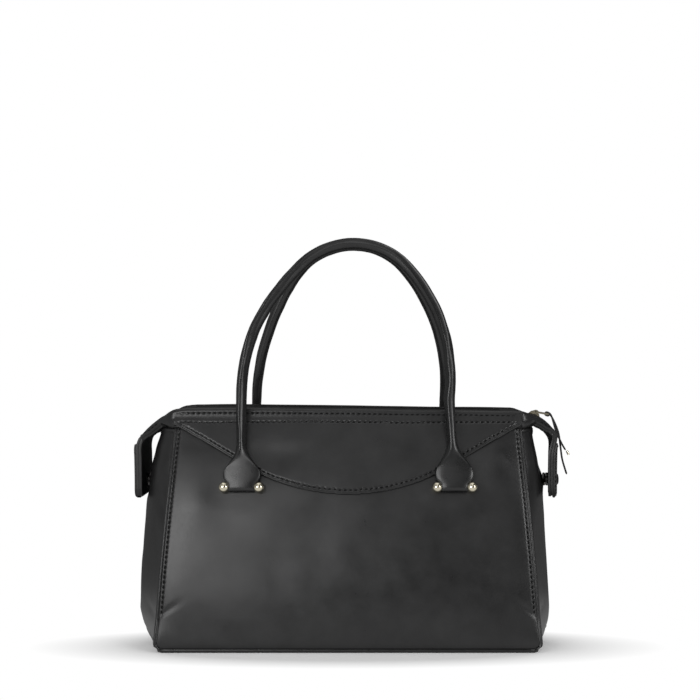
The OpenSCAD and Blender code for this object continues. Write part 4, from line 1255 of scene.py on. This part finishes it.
def stitching():
    """Every sewn row: side seams, yoke edges, crests, zip, straps and tabs."""
    for front, wall in ((True, "front"), (False, "back")):
        sy = -1 if front else 1
        for sx, side in ((-1, "left"), (1, "right")):
            line = []
            for h in steps(29, 170, 120):
                p = wall_point(sx * (panel_half(h) - 2.2), h, -0.6, front)
                line.append((p, Vector((0, sy, 0.25)).normalized()))
            stitch_row(f"{wall}_{side}_seam_stitches", line, "bag")
        rim = []
        for x in steps(-138, 138, 260):
            slant = yoke_slant(x)
            mark = band_mark(yoke_low(x)) + 3.3 / slant
            rim.append((band_point(x, mark, -0.7, front), Vector((0, sy, 0.3)).normalized()))
        stitch_row(f"{wall}_yoke_stitches", rim, "bag", pitch=YOKE_STITCH)
        for row, label, reach in ((ROW_1, "crest", 138.0), (ROW_2, "band", 136.5)):
            line = []
            for x in steps(-reach, reach, 260):
                p = band_point(x, band_mark(row_height(row, x, front)), -0.55, front)
                line.append((p, Vector((0, sy, 0.35 if row == ROW_2 else 0.1)).normalized()))
            stitch_row(f"{wall}_{label}_stitches", line, "bag", pitch=CREST_STITCH)
        zip_row = [
            (Vector((x, sy * 9.4, 180.55)), Vector((0, 0.38 * -sy, 1)).normalized()) for x in steps(-138, 138, 60)]
        stitch_row(f"{wall}_zip_stitches", zip_row, "bag", pitch=ZIP_STITCH)
    for sx, side in ((-1, "left"), (1, "right")):
        strap = STRAPS[sx]
        patch_from = strap.height_mark(PATCH_H)

        def on_strap(s, v, out):
            p, q = strap_point(s, v, out, sx), strap_point(s, v, out + 1, sx)
            return Vector((sx * p.x, p.y, p.z)), Vector((sx * (q.x - p.x), q.y - p.y, q.z - p.z)).normalized()
        v = 1 - SEWN_IN / TAB_HALF
        for sy in (-1, 1):
            line = [on_strap(s, sy * v, -0.15) for s in steps(28, patch_from - 2, 40)]
            stitch_row(f"{side}_strap_stitches_{'front' if sy < 0 else 'back'}", line, strap_bend(sx), pitch=STRAP_STITCH)
        outline = []
        r = TAB_CORNER - SEWN_IN
        for z in steps(PATCH_H - 2.8, TAB_LOW_H + TAB_CORNER, 30):
            outline.append((-(TAB_HALF - SEWN_IN), z))
        for angle in steps(math.pi, 1.5 * math.pi, 12)[1:]:
            outline.append((
                -(TAB_HALF - TAB_CORNER) + r * math.cos(angle), TAB_LOW_H + TAB_CORNER + r * math.sin(angle)))
        outline += [(-y, z) for y, z in outline[::-1]]
        top = [(y, PATCH_H - 2.8) for y in steps(TAB_HALF - SEWN_IN, -(TAB_HALF - SEWN_IN), 20)]
        line = []
        for y, z in outline + top[1:]:
            p, up = on_strap(strap.height_mark(z), 0.0, PATCH_T + 0.1)
            line.append((Vector((p.x + tab_turn(y, z, sx), y, p.z)), up))
        stitch_row(f"{side}_patch_stitches", line, side + "_tab", pitch=STRAP_STITCH)


def fittings():
    """Finishes for the CAD pieces whose shape is already right."""
    repaint(["front_bars", "back_bars", "pull_tip", "stud_washers", "stud_screws"], "pale gold")
    repaint(["slider", "pull_link", "front_zip_teeth", "back_zip_teeth", "zip_stops"], "worn gold")
    repaint([f"{side}_snap_{part}" for side in ("left", "right") for part in ("cap", "socket", "stud")], "dark metal")
    repaint(["base_lining", "front_lining", "back_lining", "left_gusset_lining", "right_gusset_lining"], "lining cloth")
    repaint(["base_board"], "fibre board")
    repaint(["front_stay", "back_stay"], "strap leather")


# Studio


def floor_and_backdrop():
    """A floor that keeps the bag's shadow, with a painted grey pool of shade round the bag that fades out into the
    white surround; in reflections it shows as a painted glow.
    """
    clear_selection()
    bpy.ops.mesh.primitive_grid_add(x_subdivisions=4, y_subdivisions=4, size=12, location=(0, 0, 0))
    floor = bpy.context.object
    floor.name = "studio_floor"
    floor.data.name = "studio_floor"
    material = bpy.data.materials.new("studio white")
    finish = Finish(material)
    where = finish.place()
    # The ellipse round the bag's footprint marks a painted pool of shade: grey lit floor inside, white glow outside.
    shade_pool_place = finish.node("ShaderNodeMapping", {}, {"Vector": where, "Location": (0, 1.39, 0), "Scale": (5.15, 24, 1)})
    far = finish.spread(finish.node("ShaderNodeVectorMath", {"operation": "LENGTH"}, {0: shade_pool_place}, "Value"), 0.85, 1.3)
    ahead = 1 - finish.spread(finish.parts(where)[1], -0.1, 0.12)
    camera, glossy, through = finish.rays()
    seen = camera + glossy * 0.25 * ahead + through
    # Grey paint for the painted shade pool; it also takes the bag's real shadow.
    paint = finish.node("ShaderNodeBsdfDiffuse", {}, {"Color": (0.57, 0.57, 0.57, 1)})
    lit = finish.node("ShaderNodeAddShader", {}, {
        0: paint, 1: finish.glow(seen * bpy.context.scene.bag_stage.floor_glow)})
    # In reflections the floor is a painted glow, brighter in front than behind, with a little of the lit floor in
    # front.
    lit = finish.node("ShaderNodeMixShader", {}, {
        0: glossy * (1 - ahead * 0.3), 1: lit, 2: finish.glow(ahead * 0.26 + 0.12)})
    # Outside the painted shade pool the floor glows pure white to the eye.
    surface = finish.node("ShaderNodeMixShader", {}, {0: far * seen, 1: lit, 2: finish.glow(1.0)})
    finish.node("ShaderNodeOutputMaterial", {}, {"Surface": surface})
    floor.data.materials.append(material)


def surround():
    """The studio's surround: white to the eye, a dim grey in the gloss, lighter to the left and in front with a
    brighter patch high in front, and plain as a light.
    """
    stage = bpy.context.scene.bag_stage
    world = bpy.data.worlds.new("studio surround")
    bpy.context.scene.world = world
    finish = Finish(world)
    x, y, z = finish.parts(finish.node("ShaderNodeTexCoord", out="Generated"))
    middle = finish.spread(x, -0.26, 0.0) * (1 - finish.spread(x, 0.02, 0.28))
    high = finish.spread(z, 0.2, 0.45) * middle * (1 - finish.spread(y, -0.3, 0.1))
    gloss = finish.spread(x, -0.7, 0.3, 0.26, 0.1) * finish.spread(y, 0.3, 0.75, 1.0, 0.4) + high * 0.62
    camera, glossy, through = finish.rays()
    seen = camera + through
    strength = seen + glossy * gloss + (1 - seen - glossy) * stage.surround_light
    back = finish.node("ShaderNodeBackground", {}, {"Color": (1, 1, 1, 1), "Strength": strength})
    finish.node("ShaderNodeOutputWorld", {}, {"Surface": back})


def lamp(name, place, aim, size, power):
    """A square softbox that faces a point."""
    data = bpy.data.lights.new(name, "AREA")
    data.shape = "RECTANGLE"
    data.size, data.size_y = size
    data.energy = power
    box = bpy.data.objects.new(name, data)
    box.location = place
    box.rotation_euler = (Vector(aim) - Vector(place)).to_track_quat("-Z", "Y").to_euler()
    bpy.context.scene.collection.objects.link(box)


def studio():
    """Floor, surround, softboxes, camera and view settings."""
    stage = bpy.context.scene.bag_stage
    floor_and_backdrop()
    surround()
    lamp("key softbox", (-0.62, -1.16, 0.46), (-0.08, 0, 0.1), (0.8, 0.64), stage.key_power)
    lamp("top softbox", (0.0, 0.1, 1.5), (0, 0, 0.1), (1.6, 1.2), stage.top_power)
    lamp("side softbox", (1.0, -0.75, 0.5), (0, 0, 0.12), (0.35, 0.6), stage.side_power)
    data = bpy.data.cameras.new("camera")
    data.lens = 50
    data.sensor_width = 36
    camera = bpy.data.objects.new("camera", data)
    camera.location = (0.0016, -0.828, 0.2348)
    camera.rotation_euler = (math.pi / 2, 0, 0)
    bpy.context.scene.collection.objects.link(camera)
    bpy.context.scene.camera = camera
    bpy.context.scene.view_settings.view_transform = "Standard"


# Settings, operators and panel


class BagBody(bpy.types.PropertyGroup):
    softness: bpy.props.FloatProperty(
        name="Softness", description="How far the walls wander from their cut shape", default=0.0018, unit="LENGTH", precision=4)


class BagLeather(bpy.types.PropertyGroup):
    colour: bpy.props.FloatVectorProperty(
        name="Colour", description="Colour of the leather", default=(0.008, 0.008, 0.0082), subtype="COLOR")
    edge_colour: bpy.props.FloatVectorProperty(
        name="Edge paint", description="Colour of the painted cut edges", default=(0.007, 0.007, 0.007), subtype="COLOR")
    roughness: bpy.props.FloatProperty(
        name="Roughness", description="Matt to glossy, 1 to 0", default=0.32, subtype="FACTOR", min=0.1, max=0.9)
    grain: bpy.props.FloatProperty(
        name="Grain", description="Size of the leather's pebbles", default=0.0008, unit="LENGTH", precision=5)
    grain_depth: bpy.props.FloatProperty(
        name="Grain depth", description="Depth of the leather's grain", default=0.00005, unit="LENGTH", precision=6)


class BagStitching(bpy.types.PropertyGroup):
    pitch: bpy.props.FloatProperty(
        name="Pitch", description="Length of one stitch with its gap", default=0.0038, unit="LENGTH", precision=5)
    thread: bpy.props.FloatProperty(
        name="Thread", description="Thickness of the thread", default=0.001, unit="LENGTH", precision=5)
    thread_colour: bpy.props.FloatVectorProperty(
        name="Thread colour", description="Colour of the thread", default=(0.003, 0.003, 0.003), subtype="COLOR")


class BagMetal(bpy.types.PropertyGroup):
    colour: bpy.props.FloatVectorProperty(
        name="Fittings", description="Colour of the polished fittings", default=(0.82, 0.76, 0.6), subtype="COLOR")
    worn_colour: bpy.props.FloatVectorProperty(
        name="Zip", description="Colour of the zip's worn metal", default=(0.3, 0.27, 0.2), subtype="COLOR")
    dark_colour: bpy.props.FloatVectorProperty(
        name="Snaps", description="Colour of the dark snaps", default=(0.16, 0.155, 0.15), subtype="COLOR")
    roughness: bpy.props.FloatProperty(
        name="Roughness", description="Matt to glossy, 1 to 0", default=0.12, subtype="FACTOR", min=0.02, max=0.6)


class BagCloth(bpy.types.PropertyGroup):
    lining_colour: bpy.props.FloatVectorProperty(
        name="Lining", description="Colour of the lining", default=(0.022, 0.02, 0.021), subtype="COLOR")
    tape_colour: bpy.props.FloatVectorProperty(
        name="Zip tape", description="Colour of the zip tape", default=(0.011, 0.011, 0.012), subtype="COLOR")


class BagStage(bpy.types.PropertyGroup):
    key_power: bpy.props.FloatProperty(
        name="Key softbox", description="Power of the left softbox", default=6.4, unit="POWER")
    top_power: bpy.props.FloatProperty(
        name="Top softbox", description="Power of the overhead softbox", default=3.5, unit="POWER")
    side_power: bpy.props.FloatProperty(
        name="Side softbox", description="Power of the right softbox", default=4.0, unit="POWER")
    surround_light: bpy.props.FloatProperty(
        name="Surround", description="Light from the white surround", default=1.0, min=0.0, max=2.0)
    floor_glow: bpy.props.FloatProperty(
        name="Floor glow", description="Share of the floor's white that the shadow can't take", default=0.03, min=0.0, max=1.0)


class BagOperator:
    bl_options = {"REGISTER", "UNDO"}
    makes = ()

    def execute(self, context):
        for make in self.makes:
            make()
        return {"FINISHED"}


class BAG_OT_studio(BagOperator, bpy.types.Operator):
    """Set up the floor, surround, softboxes and camera"""
    bl_idname = "bag.studio"
    bl_label = "Studio"
    makes = (studio,)


class BAG_OT_panels(BagOperator, bpy.types.Operator):
    """Make the front and back panels"""
    bl_idname = "bag.panels"
    bl_label = "Panels"
    makes = (wall_panels,)


class BAG_OT_gussets(BagOperator, bpy.types.Operator):
    """Make the side panels, their bindings and their turned edges"""
    bl_idname = "bag.gussets"
    bl_label = "Side panels"
    makes = (gussets, bindings, seam_edges)


class BAG_OT_base(BagOperator, bpy.types.Operator):
    """Make the base"""
    bl_idname = "bag.base"
    bl_label = "Base"
    makes = (base,)


class BAG_OT_yokes(BagOperator, bpy.types.Operator):
    """Make the scalloped yokes"""
    bl_idname = "bag.yokes"
    bl_label = "Yokes"
    makes = (yokes,)


class BAG_OT_facings(BagOperator, bpy.types.Operator):
    """Make the rolled crests and zip facings"""
    bl_idname = "bag.facings"
    bl_label = "Crests and facings"
    makes = (facings, tapes)


class BAG_OT_straps(BagOperator, bpy.types.Operator):
    """Make the side straps with their tabs"""
    bl_idname = "bag.straps"
    bl_label = "Straps and tabs"
    makes = (straps,)


class BAG_OT_handles(BagOperator, bpy.types.Operator):
    """Make the rolled handles"""
    bl_idname = "bag.handles"
    bl_label = "Handles"
    makes = (handles,)


class BAG_OT_studs(BagOperator, bpy.types.Operator):
    """Make the ball-headed studs"""
    bl_idname = "bag.studs"
    bl_label = "Studs"
    makes = (studs,)


class BAG_OT_pull(BagOperator, bpy.types.Operator):
    """Make the pull's leather tails"""
    bl_idname = "bag.pull"
    bl_label = "Pull"
    makes = (tails,)


class BAG_OT_stitching(BagOperator, bpy.types.Operator):
    """Sew every row of stitches"""
    bl_idname = "bag.stitching"
    bl_label = "Stitching"
    makes = (stitching,)


class BAG_OT_fittings(BagOperator, bpy.types.Operator):
    """Finish the fittings, linings and cores"""
    bl_idname = "bag.fittings"
    bl_label = "Fittings and linings"
    makes = (fittings,)


OPERATORS = (
    BAG_OT_studio, BAG_OT_base, BAG_OT_panels, BAG_OT_gussets, BAG_OT_yokes, BAG_OT_facings, BAG_OT_straps, BAG_OT_handles,
    BAG_OT_studs, BAG_OT_pull, BAG_OT_stitching, BAG_OT_fittings)
SETTINGS = {
    "bag_body": BagBody, "bag_leather": BagLeather, "bag_stitching": BagStitching, "bag_metal": BagMetal,
    "bag_cloth": BagCloth, "bag_stage": BagStage}


class BAG_PT_bag(bpy.types.Panel):
    """Lists the bag's settings and pieces"""
    bl_idname = "BAG_PT_bag"
    bl_label = "Leather bag"
    bl_space_type = "VIEW_3D"
    bl_region_type = "UI"
    bl_category = "Bag"

    def draw(self, context):
        for name in SETTINGS:
            box = self.layout.box()
            group = getattr(context.scene, name)
            for prop in group.bl_rna.properties:
                if prop.identifier not in ("rna_type", "name"):
                    box.prop(group, prop.identifier)
        for operator in OPERATORS:
            self.layout.operator(operator.bl_idname)


def register():
    for group in SETTINGS.values():
        bpy.utils.register_class(group)
    for operator in OPERATORS:
        bpy.utils.register_class(operator)
    bpy.utils.register_class(BAG_PT_bag)
    for name, group in SETTINGS.items():
        setattr(bpy.types.Scene, name, bpy.props.PointerProperty(type=group))


def unregister():
    for name in SETTINGS:
        delattr(bpy.types.Scene, name)
    bpy.utils.unregister_class(BAG_PT_bag)
    for operator in OPERATORS[::-1]:
        bpy.utils.unregister_class(operator)
    for group in list(SETTINGS.values())[::-1]:
        bpy.utils.unregister_class(group)


def main():
    register()
    bpy.ops.bag.studio()
    bpy.ops.bag.base()
    bpy.ops.bag.panels()
    bpy.ops.bag.gussets()
    bpy.ops.bag.yokes()
    bpy.ops.bag.facings()
    bpy.ops.bag.straps()
    bpy.ops.bag.handles()
    bpy.ops.bag.studs()
    bpy.ops.bag.pull()
    bpy.ops.bag.stitching()
    bpy.ops.bag.fittings()
    bpy.context.view_layer.update()


if __name__ == "__main__":
    main()
